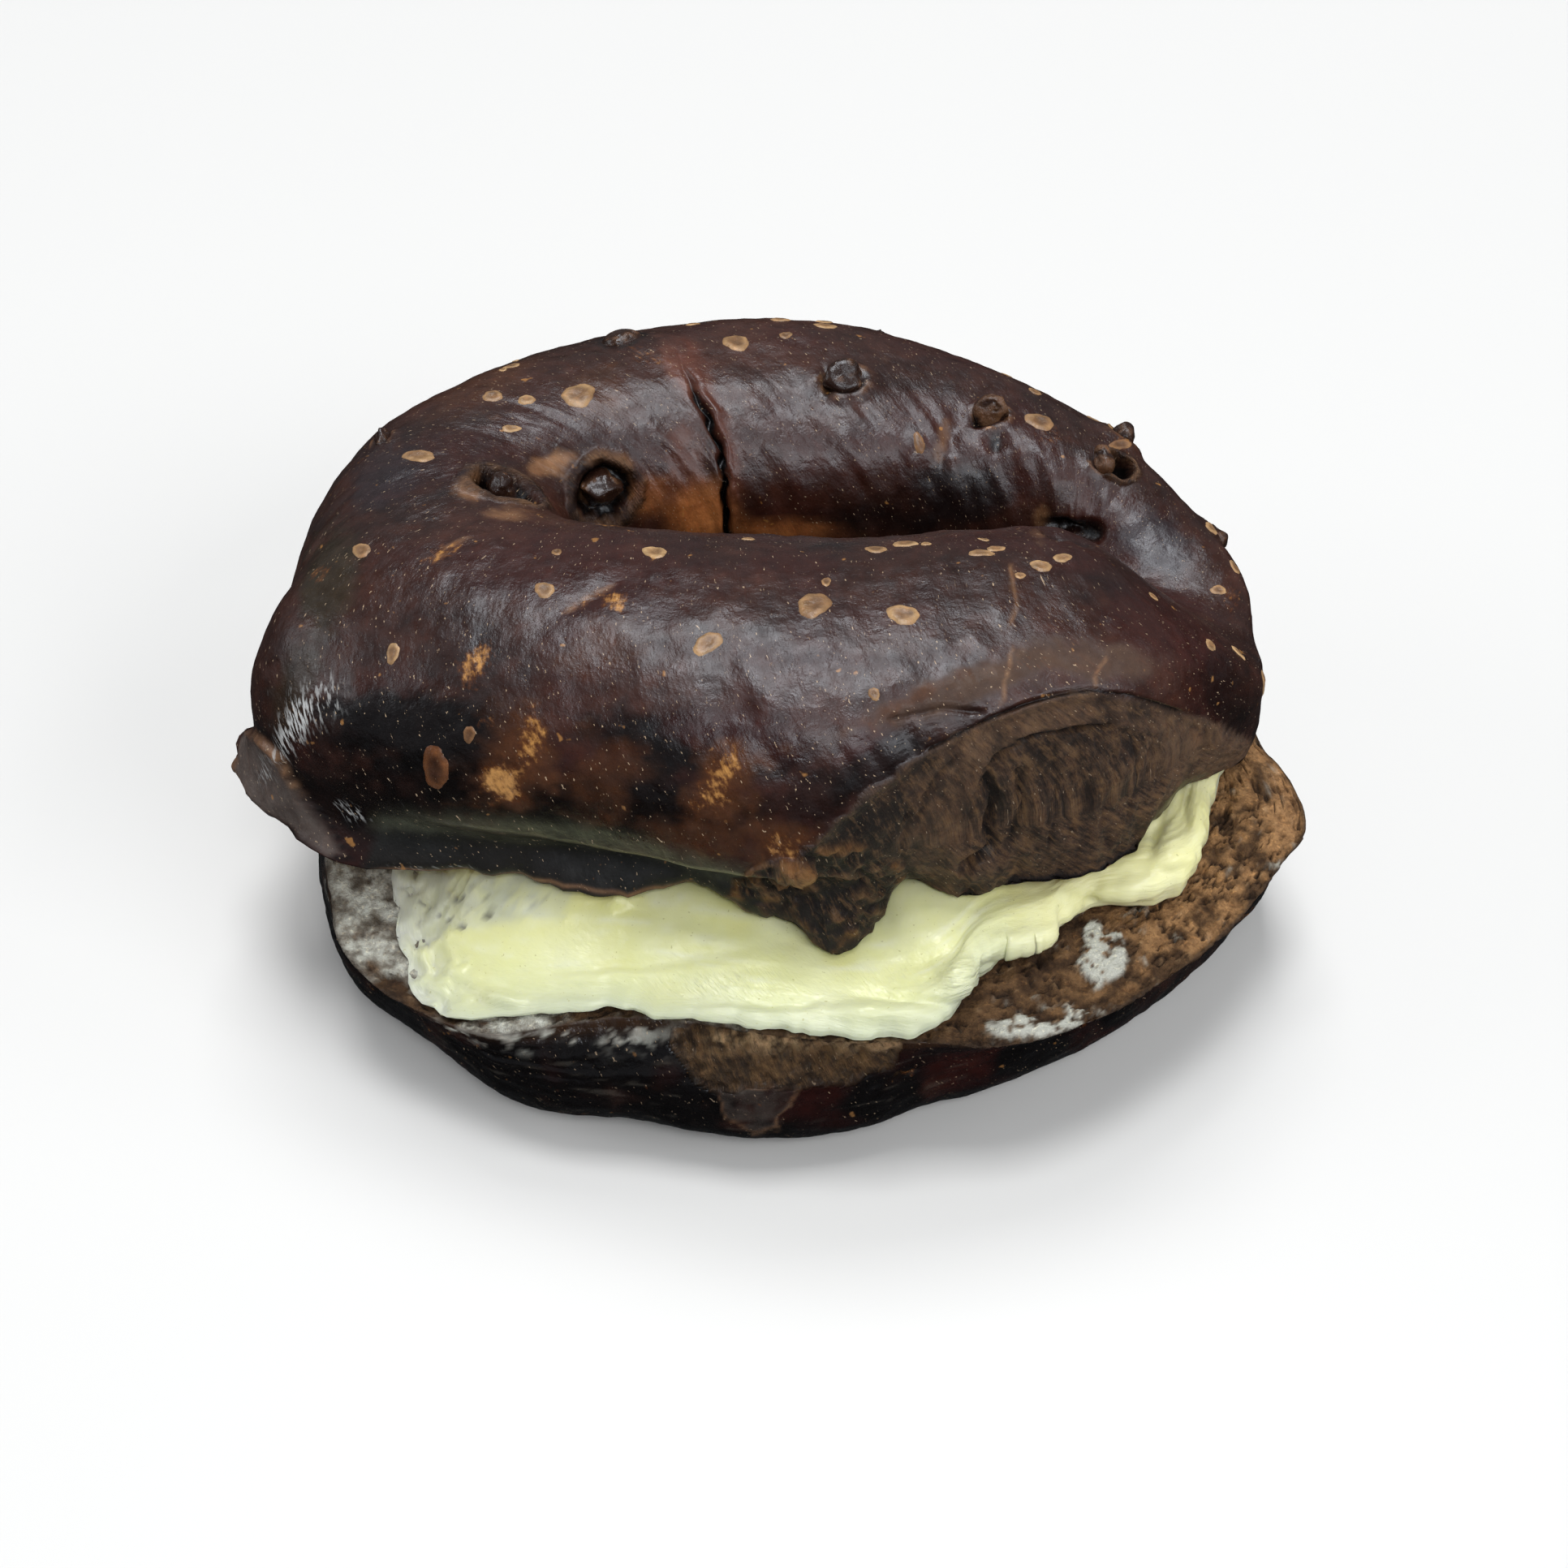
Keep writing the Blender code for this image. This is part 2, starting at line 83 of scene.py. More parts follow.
# ---- The top half, as in the source ------------------------------------------------------------
TOP_CENTRE = -1.5 + 6.3j
TOP_BULGE = (
    (0, 49.2), (10, 46.7), (25, 43.7), (45, 39.9), (70, 38.8), (90, 38.6), (115, 39.4), (140, 42.4),
    (160, 45.3), (181, 47.4), (192, 49.2), (201, 53.4), (210, 53.0), (220, 49.4), (233, 45.0),
    (243, 42.2), (254, 41.4), (264, 42.0), (270, 42.6), (280, 43.0), (290, 42.4), (300, 43.8),
    (312, 47.2), (320, 48.5), (328, 49.5), (339, 51.8), (350, 49.8),
)
TOP_EDGE = (
    (0, 46.5), (45, 37.8), (90, 35.6), (140, 37.8), (181, 45.0), (193, 51.6), (200, 56.2),
    (208, 55.0), (217, 53.5), (222, 51.0), (229, 45.6), (236, 42.4), (250, 40.4), (260, 36.6),
    (268, 39.2), (275, 40.4), (279, 43.4), (285, 41.2), (290, 38.0), (297, 41.8), (303, 43.2),
    (312, 46.9), (319, 47.7), (328, 46.6), (333, 48.2), (339, 51.6), (348, 49.5),
)
TOP_DROP = (
    (0, 0.0), (255, 0.0), (266, 0.5), (274, 1.4), (279, 2.8), (285, 2.0), (290, 0.2), (297, 0.5),
    (305, 0.0), (330, 0.0),
)
TOP_CREST = (
    (0, 11.5), (28, 16.6), (50, 18.8), (90, 21.3), (150, 21.3), (180, 22.3), (225, 24.5),
    (270, 25.2), (310, 24.6), (322, 22.5), (332, 18.0), (340, 13.0), (348, 10.5),
)
TOP_POWER = (
    (0, 0.85), (90, 0.85), (175, 0.85), (195, 1.0), (212, 1.05), (235, 0.85), (270, 0.85),
    (288, 0.7), (300, 0.55), (325, 0.55), (340, 0.7),
)
CREASE_DEPTH = (
    (0, 0.0), (190, 0.0), (205, 0.2), (218, 0.5), (232, 2.0), (246, 3.0), (262, 3.4), (278, 2.0),
    (290, 0.0),
)
TORN_TOP = (
    (0, -40), (180, -40), (270, -40), (275, 3), (280, 18), (290, 32), (300, 43), (310, 47),
    (318, 34), (327, 12), (335, -20), (342, -40), (350, -40),
)
TORN_DEPTH = 0.9
TORN_STEP = 9.0
TOP_HOLE_CENTRE = 5.5 + 8.5j
TOP_HOLE_HALF = (26.0, 5.6)
HOLE_POWER = 2.3
INNER_POWER = 0.85
WIDEST_HEIGHT = 8.0
LOWER_EDGE = -40
RELIEF_START = 6  # degrees across over which the relief rises from the lower edge
RELIEF_END = (205, 219)  # and over which it fades again, inside the hole
CRUMB_START = 218  # degrees across from which the cut face is crumb
FACE_CROWDING = 0.35
FLAP_REACH = (3.0, 9.0)
TUCK = 2.5
SLICE_HEIGHT = 20.2
SLICE_SLOPE = -0.055

# ---- The bottom half and the spread, as in the source ------------------------------------------
BOTTOM_CENTRE = 3.5 - 3.75j
BOTTOM_RIM = (
    (0, 46.2), (30, 45.0), (60, 42.0), (90, 40.0), (120, 41.0), (150, 45.0), (180, 48.5),
    (204, 52.0), (211, 53.3), (217, 52.5), (226, 50.0), (231, 48.6), (237, 44.9), (244, 41.6),
    (251, 40.4), (268, 40.6), (283, 41.6), (291, 43.8), (301, 45.4), (311, 46.2), (324, 47.6),
    (338, 49.5), (345, 51.0), (352, 49.4),
)
BOTTOM_BULGE = (
    (0, 0.5), (25, 2.4), (60, 3.2), (90, 3.4), (130, 3.2), (180, 2.4), (204, 0.6), (215, -2.0),
    (228, -0.4), (240, 3.8), (258, 3.6), (275, 1.6), (290, -3.0), (303, -4.8), (316, -4.6),
    (330, -3.8), (345, -2.4),
)
FACE_LUMPS = ((-35.0, -38.0, 15.0, -2.8), (-4.0, -45.0, 16.0, 1.3))
BOTTOM_HOLE_CENTRE = 9.0 - 1.5j
BOTTOM_HOLE_HALF = (25.0, 8.5)
BOTTOM_HEIGHT = 15.5
BOTTOM_WIDEST = 8.0
BASE_SINK = 2.5
UNDER_SIDE_POWER = 0.8
UNDER_DROP_POWER = 0.85
RIM = 30
SPREAD_HOLE_CENTRE = 8.0 + 1.0j
SPREAD_HOLE_HALF = (30.0, 15.5)
SPREAD_RADIUS = (
    (0, 43.0), (60, 38.0), (90, 36.0), (150, 42.0), (200, 45.0), (216, 49.1), (220, 50.2),
    (227, 48.8), (235, 45.0), (243, 42.0), (257, 40.6), (270, 40.8), (283, 42.0), (287, 40.9),
    (292, 37.6), (297, 36.0), (306, 36.7), (313, 36.3), (318, 37.2), (323, 40.9), (329, 42.9),
    (336, 42.1), (345, 41.5),
)
SPREAD_EDGE = (
    (0, 2.6), (180, 2.0), (215, 1.0), (235, 1.2), (255, 1.8), (280, 2.6), (290, 3.6), (300, 3.0),
    (315, 3.2), (325, 4.4), (336, 5.2), (345, 4.6),
)
SPREAD_RIDGE = (
    (0, 0.0), (240, 0.0), (275, 0.3), (286, 0.8), (296, 1.4), (306, 1.2), (316, 0.9), (326, 1.6),
    (336, 2.0), (346, 0.8),
)
RIDGE_INSET = 2.6
RIDGE_WIDTH = 2.2
SPREAD_SIDE_POWER = 0.6
SPREAD_RISE_POWER = 0.5
SPREAD_SLOPE = 16.0
GAP = 0.3
HANG_ROOM = 0.5  # share of the fray's dip that the gap leaves room for
TOP_SEAT = 45.0  # radius on which the torn edge's noise is read
SPREAD_SEAT = 44.0
GRAIN_RADIUS = 32.0  # of the circle that the streaks' coordinates run round
GRAIN_SKEW = 0.22  # degrees round for each degree across
SECTION_RADIUS = 15.0

# Steps a degree round each ring and across its section: (up to this angle, steps a degree).
TOP_AROUND = (
    (16, 0.8), (26, 1.8), (80, 0.7), (88, 1.4), (108, 0.8), (115, 4.0), (142, 0.8), (154, 2.2),
    (182, 0.8), (194, 2.4), (262, 0.95), (330, 2.1), (360, 1.0),
)
TOP_ACROSS = (
    (-40, 0), (-25, 1.6), (50, 1.2), (160, 0.68), (220, 0.30), (320, 0.08),
)
BOTTOM_AROUND = ((195, 0.55), (250, 1.9), (262, 2.6), (285, 2.6), (345, 1.9), (360, 0.8))
BOTTOM_ACROSS = ((-90, 0), (-60, 0.2), (0, 0.55), (30, 1.1), (80, 1.5), (150, 0.5), (270, 0.14))
SPREAD_AROUND = ((195, 0.5), (250, 1.9), (345, 2.2), (360, 0.7))
SPREAD_ACROSS = ((0, 0), (25, 0.9), (90, 0.45), (180, 0.16), (300, 0.08), (340, 0.2), (360, 0.9))

# ---- Chips and pits, as in the source ----------------------------------------------------------
CHIPS = (  # (around, across, radius, how far its middle stands out)
    (185.5, 117, 1.7, -0.6), (147.7, 150, 2.1, -0.2), (83.9, 104, 2.2, -0.2), (52.9, 104, 1.7, 0.0),
    (23.4, 94, 1.5, 0.1), (118.4, 68, 2.6, -0.5), (168.0, 62, 1.2, -0.1), (25.6, 53, 1.9, -0.4),
    (72.0, 24, 2.0, -0.2), (101.0, 12, 1.8, -0.1), (140.0, 16, 2.1, -0.2), (8.0, 8, 1.6, -0.1),
)
TAN_CHIPS = (3, 4, 9)  # numbers of the chips that skin still half covers
COVERED_CHIPS = (5,)  # and of those that it covers altogether
CHIP_SIDES = 12  # flat sides broken on each chip
CHIP_WIDTH = 0.85
PITS = (  # (around, across, half length, half width, depth)
    (188.0, 118.5, 2.0, 2.9, 2.2), (147.7, 152, 2.6, 2.4, 1.8), (20.8, 88, 1.4, 1.4, 1.7),
)
PIT_WIDER = 1.3  # the torn opening round each pit, in its own half widths
PIT_REACH = 9.0
PIT_RIM = (1.16, 0.16, 0.28)  # (where, as a share of the pit, half width, height) of its rim
BARELY_SUNK = -0.5  # how deep a chip may sit and still raise a collar of skin
BALL_AROUND = 36
BALL_UP = 20
CHIP_ROUGHNESS = 0.24
CHIP_FACET = 0.82  # how far out the flat sides lie, as a share of the radius
CHIP_KEPT = 0.66  # the least cosine of a direction to a side that still cuts it
CRACK_AT = 111.3  # degrees round to the crack in the back of the ring
CRACK_SCALE = 0.42  # mm for each degree round, there
CRACK_DEPTH = 1.5
CRACK_LIP = 0.25
BLISTER_RINGS = 7
BLISTER_SPOKES = 26
BLISTER_ROUGHNESS = 0.42
BLISTER_WAVES = ((0.10, 2, 1), (0.07, 3, 2), (0.04, 7, 1))  # (share, waves round, turns of the seed)
BLISTER_DROP = 2.5  # how far out the skin starts before it is draped
BLISTER_FALL = 6.0
BLISTER_SUNK = 0.10
BLISTER_THICK = (0.16, 0.10)  # at least, and for each mm of its smaller half width
BLISTER_HOLLOW = (0.45, 0.42)  # (depth as a share of the thickness, radius as a share of its own)
FAR_BLISTERS = 30
FAR_AROUND = (-30, 175)
FAR_ACROSS = (5, 70)
FAR_SIZES = (0.45, 1.25)

# ---- Places in the frame, in pixels ------------------------------------------------------------
UPPER_FOLD = (  # where the glossy crust ends over the torn face
    (985, 1070), (1008, 1040), (1038, 1010), (1079, 974), (1110, 946), (1146, 923), (1187, 903),
    (1217, 887), (1248, 873), (1294, 859), (1345, 851), (1390, 857), (1426, 870), (1452, 880),
)
SECOND_FOLD = ((1217, 949), (1238, 928), (1263, 916), (1294, 905), (1329, 900), (1370, 895))
BELOW_FOLD = ((1430, 905), (1460, 1100), (1180, 1120), (1190, 1000))  # closes the area under it
DEEP_FOLD = ((1217, 965), (1228, 990), (1216, 1025), (1226, 1046), (1190, 1062))
SIDE_FOLD = ((1258, 960), (1262, 1000), (1248, 1040))
FOLDS = (  # (line, half width in pixels, depth in mm, half width of the painted shade in it)
    (UPPER_FOLD[5:], 3.0, 0.7, 3), (SECOND_FOLD, 4.5, 1.6, 4), (DEEP_FOLD, 8.0, 1.9, 7),
    (SIDE_FOLD, 7.0, 1.0, 4),
)
FACE_LINES = (  # finer creases of the torn face
    ((1100, 887), (1160, 872), (1210, 878)), ((1180, 930), (1150, 960), (1130, 1010)),
    ((1300, 930), (1306, 990), (1296, 1040)), ((1400, 910), (1408, 960), (1396, 1010)),
    ((1060, 1020), (1050, 1060), (1068, 1100)), ((1120, 1000), (1112, 1050), (1124, 1090)),
)
FACE_CREASE = (3.5, 0.5, 4)  # and their half width, depth and half width of the painted shade in them
FACE_CRESTS = (  # the crests between them, painted paler as highlight
    ((1272, 935), (1278, 990), (1266, 1050)), ((1330, 925), (1338, 980), (1330, 1040)),
    ((1215, 1020), (1200, 1050), (1192, 1080)), ((1372, 905), (1384, 960), (1378, 1010)),
)
TORN_FACE = (  # outline of the matte torn crust
    (985, 1070), (1038, 1010), (1079, 974), (1146, 923), (1217, 887), (1294, 859), (1345, 851),
    (1426, 870), (1500, 892), (1545, 915), (1540, 990), (1400, 1110), (1100, 1180), (990, 1180),
    (940, 1120),
)
FLAP = (  # outline of the crumpled flap that hangs over the spread
    (996, 1046), (1050, 1040), (1112, 1066), (1116, 1100), (1104, 1150), (1045, 1156),
    (1024, 1180), (994, 1150), (975, 1120), (945, 1112), (900, 1108), (905, 1085), (960, 1060),
)
KNOB = (980, 1085, 22, 34)  # (x, y, half width, half height) of the golden knob on it
WRINKLED = (1140, 880, 110, 36, -30)  # (x, y, half width, half height, turn) of fine wrinkles
HANGING_LUMP = (1206, 1068, 34, 40)
HIGHLIGHT_STREAKS = (  # (x, y, half width, half height, turn, strength) of painted streaks of whitish highlight
    (366, 888, 22, 46, 28, 1.0), (392, 862, 30, 40, 28, 0.55), (430, 998, 26, 10, 30, 0.6),
    (340, 930, 12, 40, 20, 0.4), (545, 1070, 60, 8, 4, 0.25),
)
LIP_EDGE = (  # the thin torn edge of the lip on the left
    (425, 1074), (500, 1071), (560, 1072), (640, 1078), (700, 1090), (770, 1103), (800, 1096),
    (850, 1088), (880, 1100), (930, 1128),
)
SPREAD_REFLECTION = (  # where a painted reflection of the spread lies on the underside of the roll
    (470, 1012), (560, 1014), (650, 1018), (720, 1026), (790, 1042), (850, 1062), (905, 1080),
    (960, 1092),
)
CORNER_SKIN = (  # the thin flap of skin at the left corner
    (300, 898), (322, 905), (350, 935), (372, 975), (398, 1012), (420, 1050), (400, 1056),
    (330, 1000), (290, 950),
)
TAN_LINES = (  # fine pale cracks in the glaze
    ((1244, 700), (1252, 745), (1246, 772)), ((1246, 800), (1240, 835), (1234, 868)),
    ((1362, 810), (1352, 832), (1350, 846)), ((540, 690), (556, 672), (575, 664)),
    ((752, 722), (720, 735), (700, 752)),
)
BLISTERS = (  # (x, y, half length, half width, turn, tone): tone 0 is tan and 1 dark amber
    (713, 486, 23, 17, 20, 0.35), (607, 488, 15, 9, 0, 0.4), (649, 492, 11, 8, 0, 0.2),
    (630, 528, 13, 6, 10, 0.1), (516, 562, 22, 10, -12, 0.3), (907, 422, 17, 14, 0, 0.45),
    (968, 413, 9, 6, 0, 0.4), (445, 678, 11, 14, 40, 0.4), (807, 681, 16, 12, 15, 0.1),
    (671, 727, 14, 12, 0, 0.4), (484, 805, 10, 14, -20, 0.2), (872, 793, 22, 14, 50, 0.35),
    (1003, 745, 22, 18, 0, 0.5), (1018, 717, 7, 7, 0, 0.4), (1113, 757, 22, 15, 10, 0.25),
    (1079, 677, 16, 8, -5, 0.35), (1115, 670, 20, 7, -8, 0.05), (1141, 670, 7, 5, 0, 0.1),
    (1209, 681, 17, 7, 0, 0.35), (1227, 676, 13, 6, 25, 0.2), (1212, 665, 8, 4, 0, 0.1),
    (1283, 697, 15, 9, 15, 0.25), (1309, 687, 14, 7, 20, 0.15), (1257, 709, 8, 5, 0, 0.4),
    (1421, 735, 9, 5, 0, 0.2), (1077, 855, 8, 10, 0, 0.5), (536, 947, 21, 24, -10, 1.0),
    (578, 905, 9, 12, 0, 0.8), (1281, 520, 19, 13, 0, 0.5), (1133, 545, 8, 14, 10, 0.7),
    (922, 664, 9, 5, 0, 0.1), (686, 680, 7, 6, 0, 0.6), (1380, 548, 18, 7, 25, 0.7),
)
# Painted light among the zones: the shadow zones are shade, the black zones near-black crust with shade
# over it, the slate zones a bluish sheen and the glow zones warm light.
ZONES = (  # (colour, x, y, half width, half height, turn, strength, grain) laid on in this order
    ("black_and_shade", 860, 920, 170, 50, 6, 0.95, 0.4), ("black_and_shade", 520, 900, 150, 60, 8, 0.95, 0.4),
    ("black_and_shade", 700, 985, 270, 60, 6, 0.95, 0.3), ("black_and_shade", 460, 1000, 120, 36, 20, 0.7, 0.3),
    ("maroon", 700, 700, 190, 60, 0, 0.6, 0.5), ("maroon", 905, 905, 110, 36, 12, 0.7, 0.6),
    ("maroon", 690, 935, 90, 26, 0, 0.6, 0.8), ("maroon", 1080, 905, 60, 22, -38, 0.8, 0.4),
    ("maroon", 1440, 775, 90, 50, 25, 0.6, 0.4), ("black_and_shade", 1085, 940, 70, 26, -38, 0.7, 0.3),
    ("black_and_shade", 1510, 850, 30, 60, -10, 0.6, 0.4), ("black_and_shade", 1005, 980, 70, 40, -30, 0.6, 0.5),
    ("olive", 405, 715, 38, 75, 15, 0.8, 0.4), ("olive", 362, 850, 26, 80, 18, 0.6, 0.4),
    ("band", 1185, 848, 130, 26, -20, 0.85, 0.5), ("band", 1335, 812, 110, 26, 4, 0.8, 0.5),
    ("umber", 1120, 862, 90, 10, -26, 0.6, 1.0), ("umber", 890, 965, 46, 76, 30, 0.9, 0.8),
    ("umber", 850, 1030, 90, 26, 10, 0.6, 0.8), ("umber", 635, 945, 60, 76, 10, 0.9, 0.8),
    ("umber", 745, 960, 60, 60, 20, 0.6, 0.9), ("umber", 740, 800, 60, 40, -20, 0.4, 0.8),
    ("umber", 960, 1040, 60, 34, 10, 0.8, 0.6), ("umber", 600, 470, 90, 30, -30, 0.45, 0.8),
    ("umber", 740, 480, 50, 40, 0, 0.4, 0.8), ("painted_glow", 862, 640, 44, 26, 0, 0.85, 0.4),
    ("painted_glow", 862, 615, 40, 26, 0, 0.5, 0.4), ("painted_glow", 965, 655, 70, 14, 0, 0.7, 0.4),
    ("painted_glow", 800, 610, 22, 26, 0, 0.4, 0.5), ("rose", 838, 455, 20, 46, -30, 0.7, 0.6),
    ("rose", 845, 560, 26, 50, -8, 0.45, 0.5), ("shadow", 1185, 608, 75, 45, 0, 0.85, 0.3),
    ("shadow", 1090, 640, 90, 18, 0, 0.6, 0.4), ("slate_sheen", 1425, 672, 60, 36, 30, 0.6, 0.4),
    ("slate_sheen", 470, 590, 60, 40, -30, 0.5, 0.5), ("tan", 680, 572, 34, 15, -18, 0.9, 0.7),
    ("tan", 580, 598, 18, 22, 0, 0.8, 0.9), ("tan", 626, 634, 36, 7, 0, 0.7, 0.9),
    ("tan", 1283, 638, 13, 24, 0, 0.6, 0.9), ("tan", 1160, 545, 7, 28, 15, 0.45, 1.0),
    ("tan", 775, 590, 12, 30, -10, 0.5, 0.9),
)
AMBERS = (  # (x, y, half width, half height, turn, strength) of flecked patches
    (886, 960, 28, 62, 30, 0.9), (616, 962, 34, 40, 10, 1.0), (655, 912, 26, 56, 20, 0.75),
    (583, 820, 22, 34, 22, 0.9), (600, 788, 12, 14, 22, 0.4), (757, 745, 22, 22, -20, 0.85),
    (725, 738, 44, 10, -28, 0.7), (545, 680, 30, 10, -28, 0.75), (1290, 818, 75, 16, -8, 0.4),
    (600, 890, 26, 12, -30, 0.5), (970, 1050, 46, 26, 10, 0.7), (1405, 948, 26, 34, 0, 0.5),
    (1395, 1030, 22, 20, 0, 0.55), (795, 440, 46, 14, 15, 0.5), (1290, 535, 40, 20, 0, 0.5),
    (1385, 545, 30, 14, 30, 0.6), (1175, 560, 20, 40, 20, 0.35), (395, 705, 20, 12, -40, 0.6),
    (1515, 735, 16, 40, 0, 0.5),
)
AMBER_GRAIN = 1.0
CHIP_HOLES = (  # (x, y, half width, half height, depth) of gaps beside chips, dug in and painted with shade
    (1020, 470, 9, 20, 1.0), (1208, 518, 13, 9, 1.0), (1378, 574, 12, 14, 1.2),
    (1228, 545, 8, 14, 0.7), (1305, 650, 22, 12, 1.8), (1340, 655, 20, 14, 1.4),
)
DENTS = (  # (x, y, half width, half height, turn, height) of broad hollows and swellings
    (730, 735, 60, 12, -30, -0.35), (905, 880, 40, 18, -30, -0.3), (1270, 560, 36, 26, 0, 0.5),
    (1130, 560, 14, 40, 12, 0.4), (1170, 545, 10, 44, 20, -0.5), (1300, 600, 20, 34, 20, 0.5),
    (1380, 548, 36, 12, 30, 0.4), (1400, 640, 40, 30, 0, 0.35), (800, 425, 34, 14, 0, 0.4),
)

# The bottom half and the spread.
LEFT_CRUMB = (  # bare crumb in the smear on the left
    (452, 1180), (500, 1212), (560, 1243), (600, 1262), (540, 1262), (475, 1232), (440, 1195),
)
RIGHT_SMEARS = (
    (1360, 1185, 34, 34), (1265, 1268, 62, 18), (1325, 1262, 26, 20), (1345, 1150, 14, 16),
)
PATCH = (  # torn crust on the front
    (828, 1270), (862, 1262), (960, 1268), (1078, 1260), (1114, 1285), (1104, 1318), (1050, 1330),
    (985, 1344), (930, 1338), (880, 1346), (850, 1330), (836, 1300),
)
PATCH_SKIN = (  # outline of the skin that hangs below it
    (880, 1338), (896, 1380), (925, 1394), (962, 1390), (976, 1362), (985, 1340),
)
LOBES = (  # (x, y, half width, half height, turn, height) of folds and hollows of the spread
    (1246, 1164, 56, 17, -14, 1.5), (1190, 1206, 24, 26, 20, 1.1), (1085, 1250, 80, 13, 3, 0.9),
    (915, 1252, 60, 11, 6, 0.8), (1440, 1052, 26, 17, -35, 1.0), (1472, 1015, 12, 50, 5, 0.8),
    (1390, 1096, 48, 13, -12, 1.0), (1318, 1130, 16, 18, -40, 0.6), (560, 1195, 60, 14, 30, 0.5),
    (1215, 1186, 9, 28, 40, -0.7), (1125, 1232, 62, 6, 4, -0.6), (1424, 1030, 7, 26, 15, -0.7),
    (1345, 1112, 9, 16, -30, -0.8), (1150, 1180, 60, 12, -10, -0.35), (980, 1238, 40, 7, 0, -0.5),
    (740, 1205, 90, 8, -6, 0.35), (762, 1110, 14, 9, 0, 1.3), (620, 1232, 22, 10, 10, 0.9),
    (850, 1180, 110, 9, -8, -0.3), (700, 1240, 60, 10, 4, 0.4),
)
RIBS = ((1186, 1208, 30, 26, 0, 0.9), (884, 1212, 66, 18, 0, 0.8), (1085, 1205, 60, 20, 0, 0.4))
FILM = (  # thin spread that lets the crumb show through
    (480, 1070), (730, 1075), (690, 1130), (610, 1142), (545, 1150), (505, 1165), (470, 1150),
)
FILM_PITS = (
    (548, 1130), (572, 1121), (596, 1128), (612, 1118), (566, 1106), (640, 1112), (655, 1120),
    (605, 1104), (585, 1100), (618, 1134), (530, 1112), (676, 1105), (566, 1140), (600, 1142),
)


# ---- Numbers -----------------------------------------------------------------------------------
def stations(table, angle):
    """The value at angles on the smooth closed curve through a table of (angle, value)."""
    at, value = np.array(table, float).T
    at = np.concatenate((at[-2:] - 360, at, at[:3] + 360))
    value = np.concatenate((value[-2:], value, value[:3]))
    angle = np.asarray(angle, float) % 360
    k = np.searchsorted(at, angle, side="right") - 1
    a0, a1, a2, a3 = (at[k + n] for n in (-1, 0, 1, 2))
    v0, v1, v2, v3 = (value[k + n] for n in (-1, 0, 1, 2))
    step = a2 - a1
    t = (angle - a1) / step
    slope1 = (v2 - v0) / (a2 - a0) * step
    slope2 = (v3 - v1) / (a3 - a1) * step
    return (
        v1 * (2 * t**3 - 3 * t**2 + 1)
        + slope1 * (t**3 - 2 * t**2 + t)
        + v2 * (3 * t**2 - 2 * t**3)
        + slope2 * (t**3 - t**2)
    )


def graded(spans):
    """Angles from the first span's end to the last's, as densely as each span says."""
    made = []
    start = spans[0][0] if spans[0][1] == 0 else 0
    for end, density in spans:
        if density:
            count = max(1, round((end - start) * density))
            made.append(np.linspace(start, end, count, endpoint=False))
        start = end
    return np.concatenate(made)


def mix(a, b, share):
    return a + (b - a) * share


def ramp(value, low, high):
    """0 below low, 1 above high, smooth between."""
    t = np.clip((value - low) / (high - low), 0.0, 1.0)
    return t * t * (3 - 2 * t)


def fall(distance, width):
    """1 at 0, fading on either side over the width."""
    return np.exp(-((distance / width) ** 2))


def polar(centre, radius, angle):
    return centre + radius * np.exp(1j * np.radians(angle))


def oval(centre, half, angle):
    c, s = np.cos(np.radians(angle)), np.sin(np.radians(angle))
    power = 2 / HOLE_POWER
    wide = half[0] * np.copysign(abs(c) ** power, c)
    return centre + wide + 1j * half[1] * np.copysign(abs(s) ** power, s)


def solid_point(plan, height):
    return np.stack(np.broadcast_arrays(plan.real, plan.imag, height), axis=-1)


DRAW = np.random.default_rng(SEED)
SHUFFLE = DRAW.permutation(256)
SLOPES = DRAW.normal(size=(256, 3))
SLOPES /= np.linalg.norm(SLOPES, axis=1)[:, None]


def noise(points, cell, octaves=1, offset=0.0):
    """Smooth noise, about -1 to 1, with features of the cell's size in mm."""
    total = 0.0
    for octave in range(octaves):
        p = points / cell * 2**octave + offset + 17.3 * octave
        low = np.floor(p).astype(int)
        f = p - low
        fade = f**3 * (f * (f * 6 - 15) + 10)
        part = 0.0
        for corner in itertools.product((0, 1), repeat=3):
            at = low + corner
            key = SHUFFLE[(SHUFFLE[(SHUFFLE[at[..., 0] & 255] + at[..., 1]) & 255] + at[..., 2]) & 255]
            weight = np.where(corner, fade, 1 - fade).prod(axis=-1)
            part = part + weight * ((f - corner) * SLOPES[key]).sum(axis=-1)
        total = total + 1.7 * part / 2**octave
    return total


def ridges(points, cell, octaves=2, offset=0.0):
    """Noise with sharp crests, 0 to about 1."""
    return 1 - np.abs(noise(points, cell, octaves, offset))


# ---- Shapes ------------------------------------------------------------------------------------
def slice_height(y):
    return SLICE_HEIGHT + SLICE_SLOPE * y


def face_height(plan):
    height = BOTTOM_HEIGHT
    for x, y, radius, rise in FACE_LUMPS:
        height += rise * np.exp(-(abs(plan - complex(x, y)) ** 2) / radius**2)
    return height


def torn_back(around, across):
    below = stations(TORN_TOP, around) - across
    return TORN_DEPTH * ramp(below, 0.0, TORN_STEP) * ramp(across, LOWER_EDGE, 0.0)


